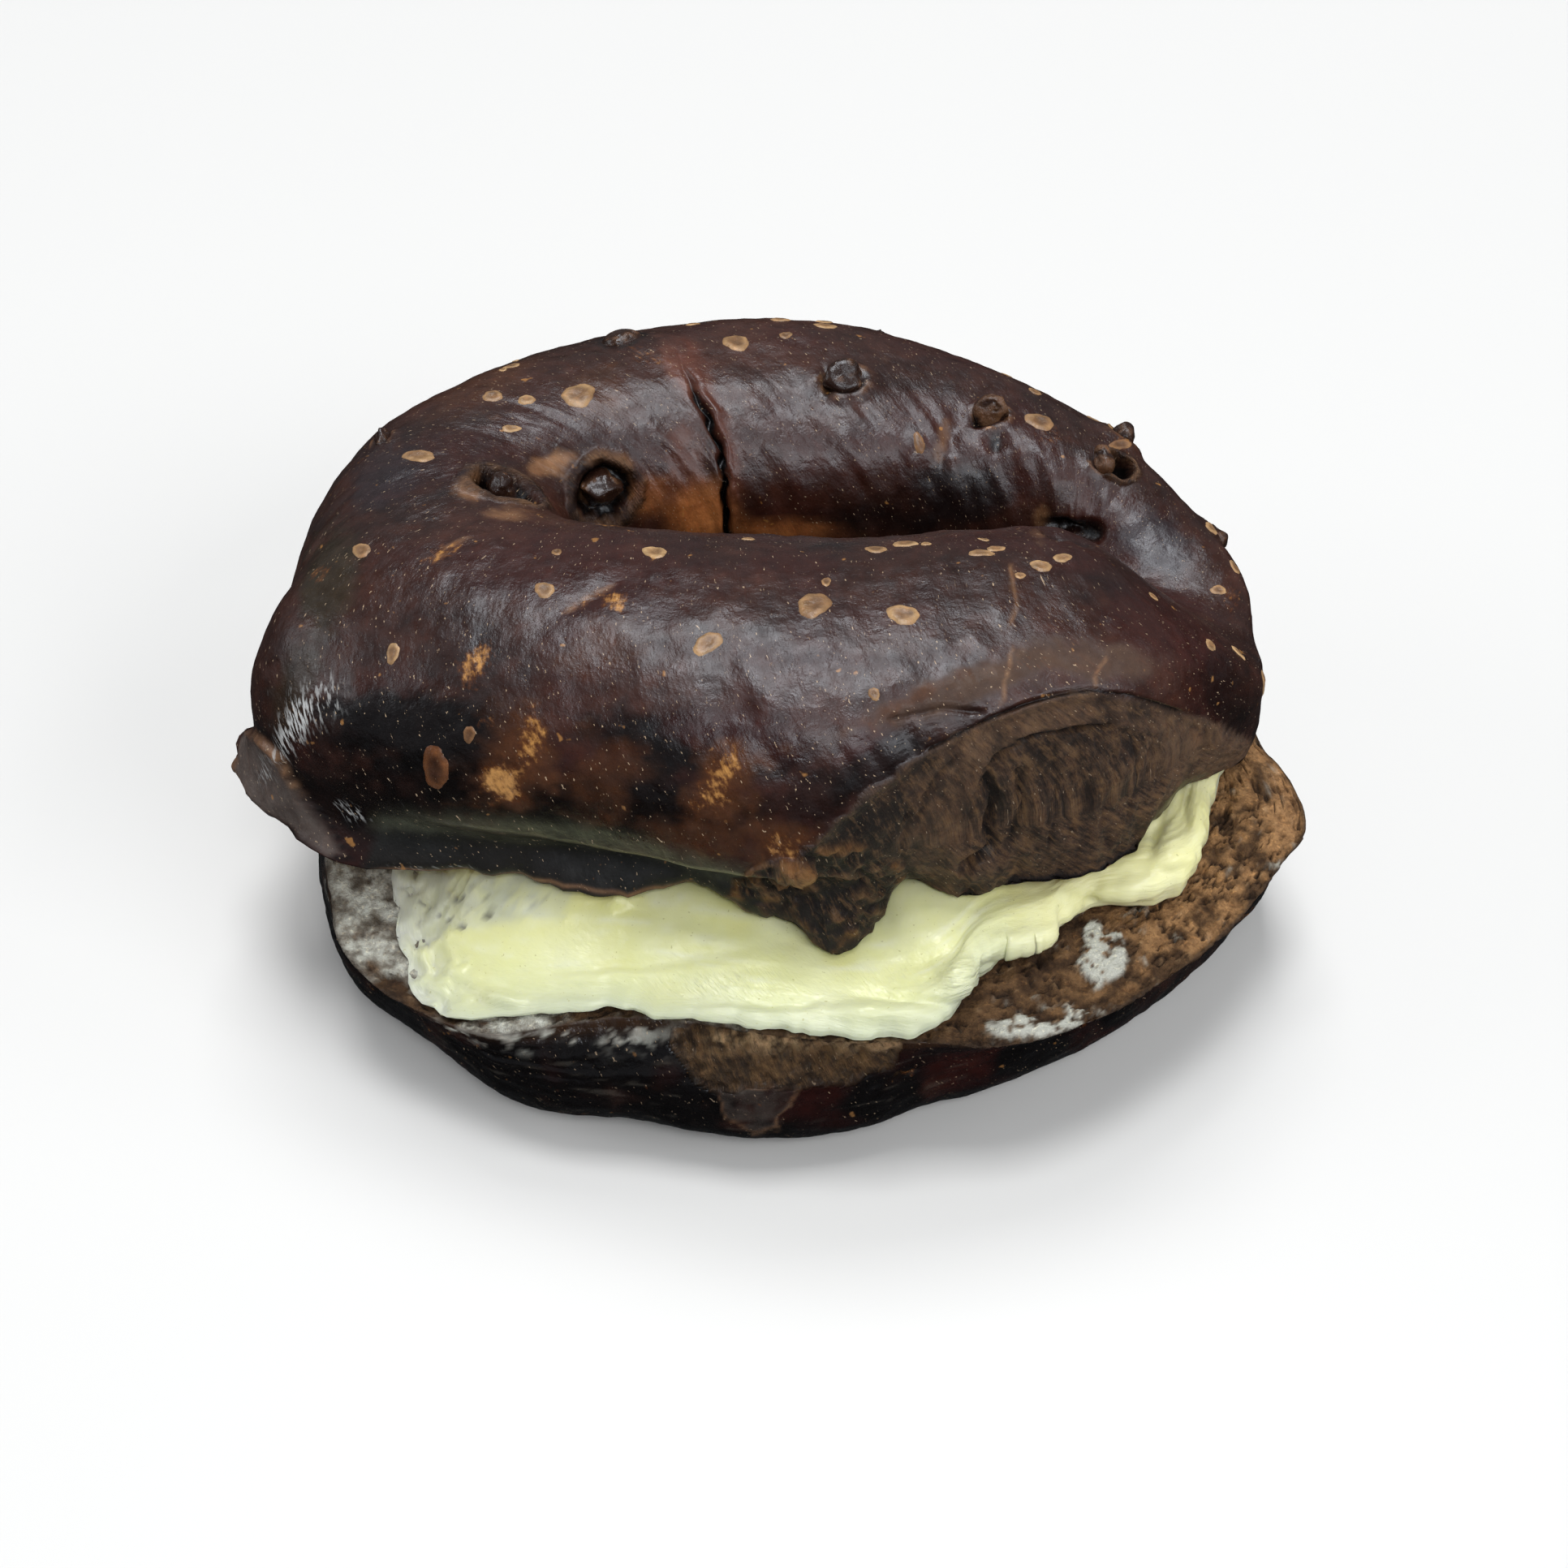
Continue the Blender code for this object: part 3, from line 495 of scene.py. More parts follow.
def top_shape(around, across):
    around, across = np.broadcast_arrays(np.asarray(around, float), np.asarray(across, float))
    bulge = polar(TOP_CENTRE, stations(TOP_BULGE, around), around)
    inner = oval(TOP_HOLE_CENTRE, TOP_HOLE_HALF, around)
    outward = np.exp(1j * np.radians(around))
    edge = stations(TOP_EDGE, around) - stations(TOP_BULGE, around)
    crest = stations(TOP_CREST, around)
    middle, half = (bulge + inner) / 2, (bulge - inner) / 2
    c, s = np.cos(np.radians(across)), np.sin(np.radians(across))
    outer = c > 0
    power = np.where(outer, stations(TOP_POWER, around), INNER_POWER)
    back = np.where(outer, torn_back(around, across), 0.0)
    over = middle + half * np.copysign(abs(c) ** power, c) - outward * back
    over_z = slice_height(over.imag) + mix(WIDEST_HEIGHT, crest, abs(s) ** power)
    depth = np.clip(s / math.sin(math.radians(LOWER_EDGE)), 0, 1)
    groove = stations(CREASE_DEPTH, around) * np.sin(math.pi * depth) ** 2
    low_outer = bulge + outward * (edge * depth**2 - groove - back)
    tuck = inner + half / abs(half) * TUCK * depth**2
    low = np.where(outer, low_outer, tuck)
    hang = np.where(outer, stations(TOP_DROP, around) * depth**2, 0.0)
    low_z = slice_height(low.imag) + WIDEST_HEIGHT * (1 - depth) - hang
    face = np.clip((across - (180 - LOWER_EDGE)) / (180 + 2 * LOWER_EDGE), 0, 1)
    flat = mix(inner + half / abs(half) * TUCK, bulge + outward * edge, face**FACE_CROWDING)
    crust = across <= 180 - LOWER_EDGE
    plan = np.where(crust, np.where(s >= 0, over, low), flat)
    height = np.where(crust, np.where(s >= 0, over_z, low_z), slice_height(flat.imag))
    return solid_point(plan, height)


def bottom_shape(around, across):
    around, across = np.broadcast_arrays(np.asarray(around, float), np.asarray(across, float))
    outer = polar(BOTTOM_CENTRE, stations(BOTTOM_RIM, around), around)
    inner = oval(BOTTOM_HOLE_CENTRE, BOTTOM_HOLE_HALF, around)
    bulge = stations(BOTTOM_BULGE, around)
    middle, half = (outer + inner) / 2, (outer - inner) / 2
    c, s = np.cos(np.radians(across)), np.sin(np.radians(across))
    face = middle + half * mix(1, -1, (across - RIM) / (180 - 2 * RIM))
    rise = np.clip(s / math.sin(math.radians(RIM)), 0, 1)
    out = np.where(c > 0, bulge * (1 - rise**2), 0.0)
    side = middle + half * np.copysign(1, c) + half / abs(half) * out
    side_z = mix(BOTTOM_WIDEST, face_height(side), rise)
    reach = np.copysign(abs(c) ** UNDER_SIDE_POWER, c)
    under = middle + half * reach + half / abs(half) * np.where(c > 0, bulge * reach, 0.0)
    drop = (BOTTOM_WIDEST + BASE_SINK) * abs(s) ** UNDER_DROP_POWER
    under_z = np.maximum(0.0, BOTTOM_WIDEST - drop)
    on_face = (across >= RIM) & (across <= 180 - RIM)
    plan = np.where(on_face, face, np.where(s >= 0, side, under))
    height = np.where(on_face, face_height(face), np.where(s >= 0, side_z, under_z))
    return solid_point(plan, height)


def ceiling(plan):
    away = plan - TOP_CENTRE
    angle = np.degrees(np.angle(away)) % 360
    under = stations(TOP_EDGE, angle) - abs(away)
    hang = stations(TOP_DROP, angle) * (1 - ramp(under, *FLAP_REACH))
    return slice_height(plan.imag) - np.maximum(0.0, hang)


def spread_shape(around, across):
    around, across = np.broadcast_arrays(np.asarray(around, float), np.asarray(across, float))
    outer = polar(BOTTOM_CENTRE, stations(SPREAD_RADIUS, around), around)
    inner = oval(SPREAD_HOLE_CENTRE, SPREAD_HOLE_HALF, around)
    c, s = np.cos(np.radians(across)), np.sin(np.radians(across))
    side = np.copysign(abs(c) ** SPREAD_SIDE_POWER, c)
    plan = (outer + inner) / 2 + (outer - inner) / 2 * side
    low = face_height(plan) + GAP
    full = ceiling(plan) - GAP - low
    inside = abs(outer - plan)
    thick = mix(stations(SPREAD_EDGE, around), full, ramp(inside, 0.0, SPREAD_SLOPE))
    ridge = fall(inside - RIDGE_INSET, RIDGE_WIDTH)
    thick = np.minimum(thick + stations(SPREAD_RIDGE, around) * ridge, full)
    rise = np.copysign(abs(s) ** SPREAD_RISE_POWER, s)
    height = mix(low, low + thick, 0.5 + 0.5 * rise)
    return solid_point(plan, height)


CHANNELS = ("rough", "fleck", "bloom", "crag")  # numbers on the points that finishes read


class Surface:
    """A ring's points on a fine grid, with the relief and the colours laid on them."""

    def __init__(self, shape, around, across):
        self.shape = shape
        self.around, self.across = np.meshgrid(graded(around), graded(across), indexing="ij")
        self.points = shape(self.around, self.across) + FROM_ORIGIN
        self.tint = np.zeros(self.points.shape)
        for channel in CHANNELS:
            setattr(self, channel, np.zeros(self.around.shape))

    def normals(self):
        along = np.roll(self.points, -1, axis=0) - np.roll(self.points, 1, axis=0)
        over = np.roll(self.points, -1, axis=1) - np.roll(self.points, 1, axis=1)
        out = np.cross(along, over)
        return out / np.maximum(np.linalg.norm(out, axis=-1), 1e-9)[..., None]

    def rise(self, height):
        self.points = self.points + self.normals() * height[..., None]

    def seen(self):
        """The pixel at which the camera sees each point, and 1 where it faces the camera."""
        x, y = to_frame(self.points)
        view = CAMERA_PLACE - self.points
        view /= np.linalg.norm(view, axis=-1)[..., None]
        return x, y, ramp((self.normals() * view).sum(axis=-1), 0.0, 0.25)

    def paint(self, colour, share):
        self.tint = mix(self.tint, np.array(colour), np.clip(share, 0, 1)[..., None])

    def lay(self, channel, amount):
        setattr(self, channel, np.maximum(getattr(self, channel), amount))

    def roughen(self, value, share):
        self.rough = mix(self.rough, value, np.clip(share, 0, 1))

    def ring(self):
        """Coordinates in mm that run round the ring in a circle, and up its section."""
        turn = np.radians(self.around + GRAIN_SKEW * self.across)
        circle = (GRAIN_RADIUS * np.cos(turn), GRAIN_RADIUS * np.sin(turn))
        return np.stack((*circle, np.radians(self.across) * SECTION_RADIUS), axis=-1)

    def tree(self):
        rows, columns = self.around.shape
        corners = faces_of(rows, columns)
        return BVHTree.FromPolygons(self.points.reshape(-1, 3).tolist(), corners.tolist())

    def local(self, around, across):
        """A place on the ring with its outward, along and across directions."""
        here = self.shape(around, across) + FROM_ORIGIN
        along = self.shape(around + 0.5, across) + FROM_ORIGIN - here
        over = self.shape(around, across + 0.5) + FROM_ORIGIN - here
        out = np.cross(along, over)
        out /= np.linalg.norm(out)
        along /= np.linalg.norm(along)
        return here, out, along, np.cross(out, along)


def faces_of(rows, columns):
    a = np.arange(rows * columns).reshape(rows, columns)
    b, c = np.roll(a, -1, axis=0), np.roll(a, -1, axis=1)
    return np.stack((a, b, np.roll(b, -1, axis=1), c), axis=-1).reshape(-1, 4)


def to_frame(points):
    away = points - CAMERA_PLACE
    depth = away @ CAMERA_FORWARD
    x = FRAME_SIDE / 2 + FOCAL * (away @ CAMERA_RIGHT) / depth
    return x, FRAME_SIDE / 2 - FOCAL * (away @ CAMERA_UP) / depth


def pick(tree, x, y):
    """Where the camera's ray through a pixel meets a surface, and which way is out there."""
    ray = CAMERA_FORWARD * FOCAL
    ray = ray + CAMERA_RIGHT * (x - FRAME_SIDE / 2) - CAMERA_UP * (y - FRAME_SIDE / 2)
    return tree.ray_cast(Vector(CAMERA_PLACE), Vector(ray).normalized())[:2]


def line_distance(x, y, line):
    """Distance in pixels from points to a polyline."""
    best = np.full(x.shape, 1e9)
    for (x0, y0), (x1, y1) in zip(line, line[1:]):
        dx, dy = x1 - x0, y1 - y0
        t = np.clip(((x - x0) * dx + (y - y0) * dy) / (dx * dx + dy * dy), 0, 1)
        best = np.minimum(best, np.hypot(x - x0 - t * dx, y - y0 - t * dy))
    return best


def depth_inside(x, y, outline):
    """Distance in pixels from an outline, above 0 inside it and below 0 outside."""
    closed = (*outline, outline[0])
    inside = np.zeros(x.shape, bool)
    for (x0, y0), (x1, y1) in zip(closed, closed[1:]):
        if y0 != y1:
            crosses = (y0 > y) != (y1 > y)
            inside ^= crosses & (x < x0 + (y - y0) * (x1 - x0) / (y1 - y0))
    return np.where(inside, 1, -1) * line_distance(x, y, closed)


def blot(x, y, place, sharp=2.0):
    """1 at the middle of a turned ellipse in the frame, fading to 0 outside it."""
    cx, cy, wide, high = place[:4]
    turn = math.radians(place[4]) if len(place) > 4 else 0.0
    c, s = math.cos(turn), math.sin(turn)
    a = ((x - cx) * c + (y - cy) * s) / wide
    b = ((y - cy) * c - (x - cx) * s) / high
    return np.exp(-((a * a + b * b) ** (sharp / 2)))


def srgb(red, green, blue):
    share = np.array((red, green, blue)) / 255
    return np.where(share <= 0.04045, share / 12.92, ((share + 0.055) / 1.055) ** 2.4)


# ---- Colours -----------------------------------------------------------------------------------
CRUST_DARK = srgb(24, 11, 8)
CRUST_BROWN = srgb(68, 38, 28)
CRUST_TAN = srgb(150, 112, 78)
UNDERSIDE_SHADE = srgb(20, 20, 16)
ZONE_COLOURS = {
    "black_and_shade": srgb(9, 4, 3), "maroon": srgb(54, 18, 13), "umber": srgb(84, 48, 22),
    "olive": srgb(48, 42, 28),
    "band": srgb(82, 60, 44), "painted_glow": srgb(192, 120, 66), "rose": srgb(112, 70, 56),
    "shadow": srgb(22, 15, 15), "slate_sheen": srgb(42, 40, 46), "tan": srgb(142, 104, 72),
}
AMBER_DARK = srgb(98, 54, 20)
AMBER_PALE = srgb(206, 150, 82)
HIGHLIGHT_WHITE = srgb(206, 208, 208)
CORNER_GREY = srgb(98, 88, 82)
SPREAD_REFLECTION_GREY = srgb(88, 92, 72)
TORN_BROWN = srgb(116, 88, 64)
TORN_DARK_AND_SHADE = srgb(30, 20, 14)
TORN_CREST_HIGHLIGHT = srgb(150, 112, 72)
FLAP_BROWN = srgb(72, 48, 28)
KNOB_GOLD_AND_HIGHLIGHT = srgb(152, 106, 50)
CRACK_RED = srgb(96, 54, 40)
CRUMB_BROWN = srgb(176, 134, 90)
CRUMB_DARK = srgb(66, 45, 27)
CRUMB_PALE = srgb(190, 156, 118)
BOTTOM_CRUST = srgb(13, 10, 10)
SMEAR_WHITE = srgb(214, 216, 206)
SMEAR_GREY = srgb(132, 127, 116)
PATCH_BROWN = srgb(112, 84, 50)
PATCH_HIGHLIGHT = srgb(204, 172, 128)
FILM_GREY = srgb(204, 208, 186)
FILM_DARK = srgb(74, 70, 60)
BUTTER = srgb(240, 242, 178)
BUTTER_PALE = srgb(248, 251, 226)
BUTTER_WHITE = srgb(200, 209, 190)
BUTTER_CREAM = srgb(252, 248, 188)
DEEP_BUTTER_AND_SHADE = srgb(228, 222, 124)
CHIP_DARK = srgb(46, 28, 20)
CHIP_BROWN = srgb(120, 86, 60)
BLISTER_BODY = (srgb(152, 118, 80), srgb(74, 42, 20))  # tan and dark amber
BLISTER_RIM = (srgb(196, 162, 116), srgb(112, 68, 32))
SPECK_TAN = srgb(196, 170, 140)
GLAZE_TINT = (0.88, 0.93, 1.0, 1.0)


# Inputs and output of the Mix node where it mixes colours.
MIX_SHARE = 0
MIX_COLOURS = (6, 7)
MIX_RESULT = 2


# ---- Materials ---------------------------------------------------------------------------------
class Finish:
    """A node material under construction."""

    def __init__(self, name):
        self.material = bpy.data.materials.new(name)
        self.material.use_nodes = True
        self.tree = self.material.node_tree
        self.shader = self.tree.nodes["Principled BSDF"]

    def feed(self, socket, value):
        if isinstance(value, bpy.types.NodeSocket):
            self.tree.links.new(value, socket)
        else:
            socket.default_value = value

    def give(self, **inputs):
        """Feeds the shader's inputs, which are named with _ for each space."""
        for key, value in inputs.items():
            self.feed(self.shader.inputs[key.replace("_", " ")], value)

    def add(self, kind, **inputs):
        made = self.tree.nodes.new(kind)
        for key, value in inputs.items():
            self.feed(made.inputs[key], value)
        return made

    def run(self, kind, *values, **settings):
        """The output of a node whose first inputs take these values."""
        made = self.tree.nodes.new(kind)
        for key, value in settings.items():
            setattr(made, key, value)
        for socket, value in zip(made.inputs, values):
            self.feed(socket, value)
        return made.outputs[0]

    def attribute(self, name, output="Fac"):
        made = self.tree.nodes.new("ShaderNodeAttribute")
        made.attribute_name = name
        return made.outputs[output]

    def noise(self, scale, detail=3.0, roughness=0.5, vector=None):
        made = self.add("ShaderNodeTexNoise", Scale=scale, Detail=detail, Roughness=roughness)
        self.feed(made.inputs["Vector"], vector or self.add("ShaderNodeTexCoord").outputs["Object"])
        return made.outputs["Fac"]

    def grain(self, along, across, detail, roughness):
        """Noise in streaks that run round the ring, by coordinates in mm round it and across it."""
        ring = self.attribute("ring", "Vector")
        steps = (along, along, across)
        scaled = self.run("ShaderNodeVectorMath", ring, steps, operation="MULTIPLY")
        return self.noise(1.0, detail, roughness, scaled)

    def span(self, value, low, high, to_low=0.0, to_high=1.0):
        return self.run("ShaderNodeMapRange", value, low, high, to_low, to_high)

    def times(self, a, b):
        return self.run("ShaderNodeMath", a, b, operation="MULTIPLY")

    def plus(self, a, b):
        return self.run("ShaderNodeMath", a, b, operation="ADD")

    def blend(self, share, a, b, mode="MIX"):
        made = self.tree.nodes.new("ShaderNodeMix")
        made.data_type = "RGBA"
        made.blend_type = mode
        self.feed(made.inputs[MIX_SHARE], share)
        for key, value in zip(MIX_COLOURS, (a, b)):
            self.feed(made.inputs[key], value if isinstance(value, bpy.types.NodeSocket) else (*value, 1))
        return made.outputs[MIX_RESULT]

    def bumps(self, *layers):
        """The normal under bumps of (height, strength, distance in metres), laid on in turn."""
        normal = None
        for height, strength, distance in layers:
            made = self.add("ShaderNodeBump", Height=height, Strength=strength, Distance=distance)
            if normal:
                self.feed(made.inputs["Normal"], normal)
            normal = made.outputs["Normal"]
        self.give(Normal=normal)


def crust_finish(name, shine=0.5, specks=1.0):
    made = Finish(name)
    tint = made.attribute("tint", "Color")
    mottle = made.span(made.noise(520.0, 5.0, 0.65), 0.36, 0.66, 0.0, 0.65)
    tint = made.blend(mottle, tint, (0.42, 0.32, 0.30), "MULTIPLY")
    streak = made.span(made.grain(1.6, 0.45, 4.0, 0.65), 0.52, 0.78, 0.0, 0.35)
    tint = made.blend(streak, tint, (1.9, 1.5, 1.3), "MULTIPLY")

    # Amber flecks, torn crags with painted shade in hollows and highlight on peaks, and painted whitish
    # highlight streaks, where the channels say.
    grains = made.plus(made.noise(1500.0, 4.0, 0.6), made.grain(2.6, 0.9, 3.0, 0.6))
    fleck = made.plus(made.attribute("fleck"), grains)
    gold = made.blend(made.span(fleck, 1.62, 2.05), AMBER_DARK, AMBER_PALE)
    tint = made.blend(made.span(fleck, 1.42, 1.86, 0.0, 0.85), tint, gold)
    crags = made.times(made.noise(1300.0, 5.0, 0.7), 0.3)
    crags = made.plus(crags, made.times(made.grain(2.2, 0.55, 5.0, 0.7), 0.7))
    torn = made.attribute("crag")
    hollow = made.times(torn, made.span(crags, 0.51, 0.41, 0.0, 0.75))
    tint = made.blend(hollow, tint, TORN_DARK_AND_SHADE)
    peak_highlight = made.times(torn, made.span(crags, 0.51, 0.64, 0.0, 0.65))
    tint = made.blend(peak_highlight, tint, TORN_CREST_HIGHLIGHT)
    bloom = made.attribute("bloom")
    dash = made.plus(made.grain(4.2, 1.0, 2.0, 0.5), made.times(bloom, 0.14))
    tint = made.blend(made.times(bloom, made.span(dash, 0.57, 0.68)), tint, HIGHLIGHT_WHITE)
    speck = made.span(made.grain(5.5, 2.4, 2.0, 0.5), 0.69, 0.74, 0.0, 0.8 * specks)
    tint = made.blend(speck, tint, SPECK_TAN)
    dot = made.span(made.noise(560.0, 2.0, 0.6), 0.71, 0.76, 0.0, 0.75 * specks)
    dot = made.times(dot, made.span(torn, 0.0, 0.3, 1.0, 0.0))
    tint = made.blend(dot, tint, mix(AMBER_DARK, AMBER_PALE, 0.5))

    uneven = made.span(made.noise(800.0, 4.0), 0.3, 0.7, -0.08, 0.10)
    made.give(
        Base_Color=tint, Roughness=made.plus(made.attribute("rough"), uneven),
        Specular_IOR_Level=shine, Specular_Tint=GLAZE_TINT,
        Coat_Weight=0.12 * shine, Coat_Roughness=0.14,
    )
    made.bumps(
        (made.grain(1.3, 0.5, 5.0, 0.6), 0.5, 0.00015),
        (made.noise(480.0, 4.0, 0.6), 0.5, 0.00040),
        (made.noise(3600.0, 2.0, 0.6), 0.4, 0.00004),
        (made.times(torn, crags), 1.0, 0.0022),
    )
    return made.material


def crumb_finish(name):
    made = Finish(name)
    tint = made.attribute("tint", "Color")
    # Painted shade in the crumb's hollows: the low parts of the bump's noise are darkened, less where
    # spread is smeared.
    patch = made.noise(800.0, 5.0, 0.68)
    bare = made.span(made.attribute("bloom"), 0.0, 0.6, 1.0, 0.15)
    dark = made.times(bare, made.span(patch, 0.36, 0.62, 0.85, 0.0))
    tint = made.blend(dark, tint, (0.26, 0.21, 0.17), "MULTIPLY")
    bright = made.span(made.noise(2300.0, 3.0), 0.56, 0.70, 0.0, 0.55)
    tint = made.blend(bright, tint, (1.9, 1.8, 1.6), "MULTIPLY")
    made.give(Base_Color=tint, Roughness=made.attribute("rough"), Specular_IOR_Level=0.35)
    made.bumps((patch, 1.0, 0.0008), (made.noise(2600.0, 3.0, 0.6), 0.6, 0.0002))
    return made.material


def spread_finish(name):
    made = Finish(name)
    tint = made.attribute("tint", "Color")
    cloud = made.span(made.noise(160.0, 4.0), 0.40, 0.7, 0.0, 0.3)
    tint = made.blend(cloud, tint, BUTTER_PALE)
    crumbs = made.span(made.noise(2600.0, 2.0), 0.70, 0.74, 0.0, 0.5)
    tint = made.blend(crumbs, tint, DEEP_BUTTER_AND_SHADE * 0.6)
    made.give(
        Base_Color=tint, Roughness=made.attribute("rough"), Specular_IOR_Level=0.5,
        Subsurface_Weight=0.3, Subsurface_Radius=(1.0, 0.95, 0.5), Subsurface_Scale=0.0012,
    )
    ribs = made.times(made.attribute("crag"), made.grain(2.2, 0.35, 2.0, 0.5))
    made.bumps(
        (made.grain(0.9, 0.9, 3.0, 0.55), 0.4, 0.0003), (ribs, 0.9, 0.0008),
        (made.noise(1100.0, 4.0), 0.25, 0.00015),
    )
    return made.material


# ---- Meshes ------------------------------------------------------------------------------------
def add_mesh(name, points, faces, finishes, tint, ring, numbers):
    """A mesh object in metres with its colours and numbers on the points."""
    mesh = bpy.data.meshes.new(name)
    mesh.from_pydata((points * MM).tolist(), [], faces.tolist())
    mesh.polygons.foreach_set("use_smooth", np.ones(len(faces), bool))
    for finish in finishes:
        mesh.materials.append(finish)
    opaque = np.concatenate((tint, np.ones((len(tint), 1))), axis=1)
    layers = [("tint", "FLOAT_COLOR", "color", opaque), ("ring", "FLOAT_VECTOR", "vector", ring)]
    layers += [(key, "FLOAT", "value", data) for key, data in numbers.items()]
    for key, kind, field, data in layers:
        layer = mesh.attributes.new(key, kind, "POINT")
        layer.data.foreach_set(field, np.ascontiguousarray(data, np.float32).ravel())
    mesh.update()
    made = show(bpy.data.objects.new(name, mesh))
    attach(made, "root")
    return made


def add_surface(name, surface, finishes, is_crumb=None):
    """A surface's mesh, with the second finish on the columns of faces that are crumb."""
    rows, columns = surface.around.shape
    numbers = {channel: np.clip(getattr(surface, channel), 0, 1) for channel in CHANNELS}
    tint = np.clip(surface.tint, 0, 1).reshape(-1, 3)
    points, faces = surface.points.reshape(-1, 3), faces_of(rows, columns)
    made = add_mesh(name, points, faces, finishes, tint, surface.ring(), numbers)
    if is_crumb is not None:
        made.data.polygons.foreach_set("material_index", np.tile(is_crumb, rows).astype(np.int32))
        made.data.update()
    return made


# ---- The top half ------------------------------------------------------------------------------
def make_top():
    top = Surface(top_shape, TOP_AROUND, TOP_ACROSS)
    p = top.points
    on_crust = top.across <= 180 - LOWER_EDGE
    crust = ramp(top.across, LOWER_EDGE, LOWER_EDGE + RELIEF_START)
    crust = crust * (1 - ramp(top.across, *RELIEF_END))
    x, y, facing = top.seen()
    front = facing * (top.around > 250) * (top.around < 350) * (top.across < 75)
    wobble = 5 * noise(p, 3.0, 2) + 3 * noise(p, 1.0, 1, 5.0)
    torn = ramp(depth_inside(x + wobble, y + wobble, TORN_FACE), -5, 9) * front
    corner = depth_inside(x + wobble, y + wobble, CORNER_SKIN)
    flap_depth = depth_inside(x + wobble, y + wobble, FLAP)
    flap = ramp(flap_depth, -3, 8) * front
    knob = ramp(blot(x + wobble, y + wobble, KNOB, 3.0), 0.25, 0.6) * front

    # Relief: the dough's unevenness, then the torn face with its folds and lumps.
    ring = top.ring()
    height = crust * (0.30 * noise(p, 14.0, 2) + 0.10 * noise(p, 4.0, 2))
    height += crust * (1 - torn) * 0.11 * noise(ring / (2.2, 2.2, 9.0), 1.0, 2, 3.0)
    fold_back = (top.around > 15) * (top.around < 125) * ramp(top.across, 95, 125)
    height += crust * fold_back * 0.26 * noise(ring / (2.0, 2.0, 16.0), 1.0, 2, 8.0)
    for place in DENTS:
        height += facing * place[5] * blot(x, y, place)
    below = depth_inside(x + wobble, y + wobble, (*SECOND_FOLD, *BELOW_FOLD))
    height -= torn * 0.55 * ramp(below, -2, 5)
    fibres = noise(p * (1.0, 1.0, 0.35), 2.6, 3, 9.0)
    crags = ridges(p * (1.0, 1.0, 0.5), 2.4, 3, 3.0) - 0.62
    lumps = 0.42 * fibres + 0.30 * crags
    wrinkle = ridges(p * (1.0, 1.0, 0.3), 1.3, 2, 14.0) - 0.6
    height += torn * (1 - flap) * (lumps * (0.45 + 0.75 * ramp(below, -4, 6)) + 0.22 * wrinkle)
    bent = p + 1.2 * np.stack([noise(p, 3.0, 2, k) for k in (81.0, 82.0, 83.0)], axis=-1)
    crumple = 0.75 * np.abs(noise(bent, 4.4, 2, 33.0)) + 0.25 * ridges(bent, 2.2, 2, 35.0) - 0.3
    height += flap * (1.6 * crumple) + knob * (0.3 + 1.2 * crumple)
    flap_edge = front * fall(flap_depth - 5, 5)
    left = (top.around > 190) * (top.around < 240)
    height += left * 0.8 * ramp(corner, -2, 3) * (1 - ramp(y, 985, 1025))
    height += front * 1.0 * blot(x + wobble, y + wobble, HANGING_LUMP, 3.0)
    for line, width, deep, _ in (*FOLDS, *((crease, *FACE_CREASE) for crease in FACE_LINES)):
        away = line_distance(x + wobble * 0.6, y + wobble * 0.6, line)
        height -= front * deep * fall(away, width) * (0.75 + 0.5 * fibres)
    folded = front * (1 - torn) * blot(x, y, WRINKLED, 3.0)
    slant = np.stack((x + 1.9 * y, y - 1.9 * x, p[..., 2] * 20), axis=-1) / (520.0, 30.0, 500.0)
    height -= folded * 0.22 * ramp(ridges(slant, 1.0, 2, 91.0), 0.7, 1.0)
    for place in CHIP_HOLES:
        height -= facing * place[4] * blot(x + 0.5 * wobble, y, place[:4], 4.0)
    top.rise(height)
    fray_edge(top, on_crust)
    colour_top(top, (x, y, facing), on_crust, (torn, flap, knob, corner, flap_edge), lumps, crumple, below)
    sink_pits(top)
    columns = top.around.shape[1]
    return top, (top.across[0] > CRUMB_START) | (np.arange(columns) == columns - 1)


def fray_edge(top, on_crust):
    """The ragged torn edge of the crust, all round."""
    p = top.points
    low = np.where(on_crust, 1 - ramp(top.across, LOWER_EDGE, LOWER_EDGE + 16), 1.0)
    low = low * ((top.across < 60) | (top.across > 222))
    out = np.exp(1j * np.radians(top.around))
    at_edge = solid_point(out * TOP_SEAT, 0.0)
    fray = 0.55 * noise(at_edge, 2.6, 3, 31.0) * low
    p[..., 0] += fray * out.real
    p[..., 1] += fray * out.imag
    dip = np.where(on_crust, low, ramp(top.across, 260, 320))
    p[..., 2] -= 0.5 * ramp(noise(at_edge, 3.2, 3, 36.0), 0.0, 0.8) * dip * HANG_ROOM


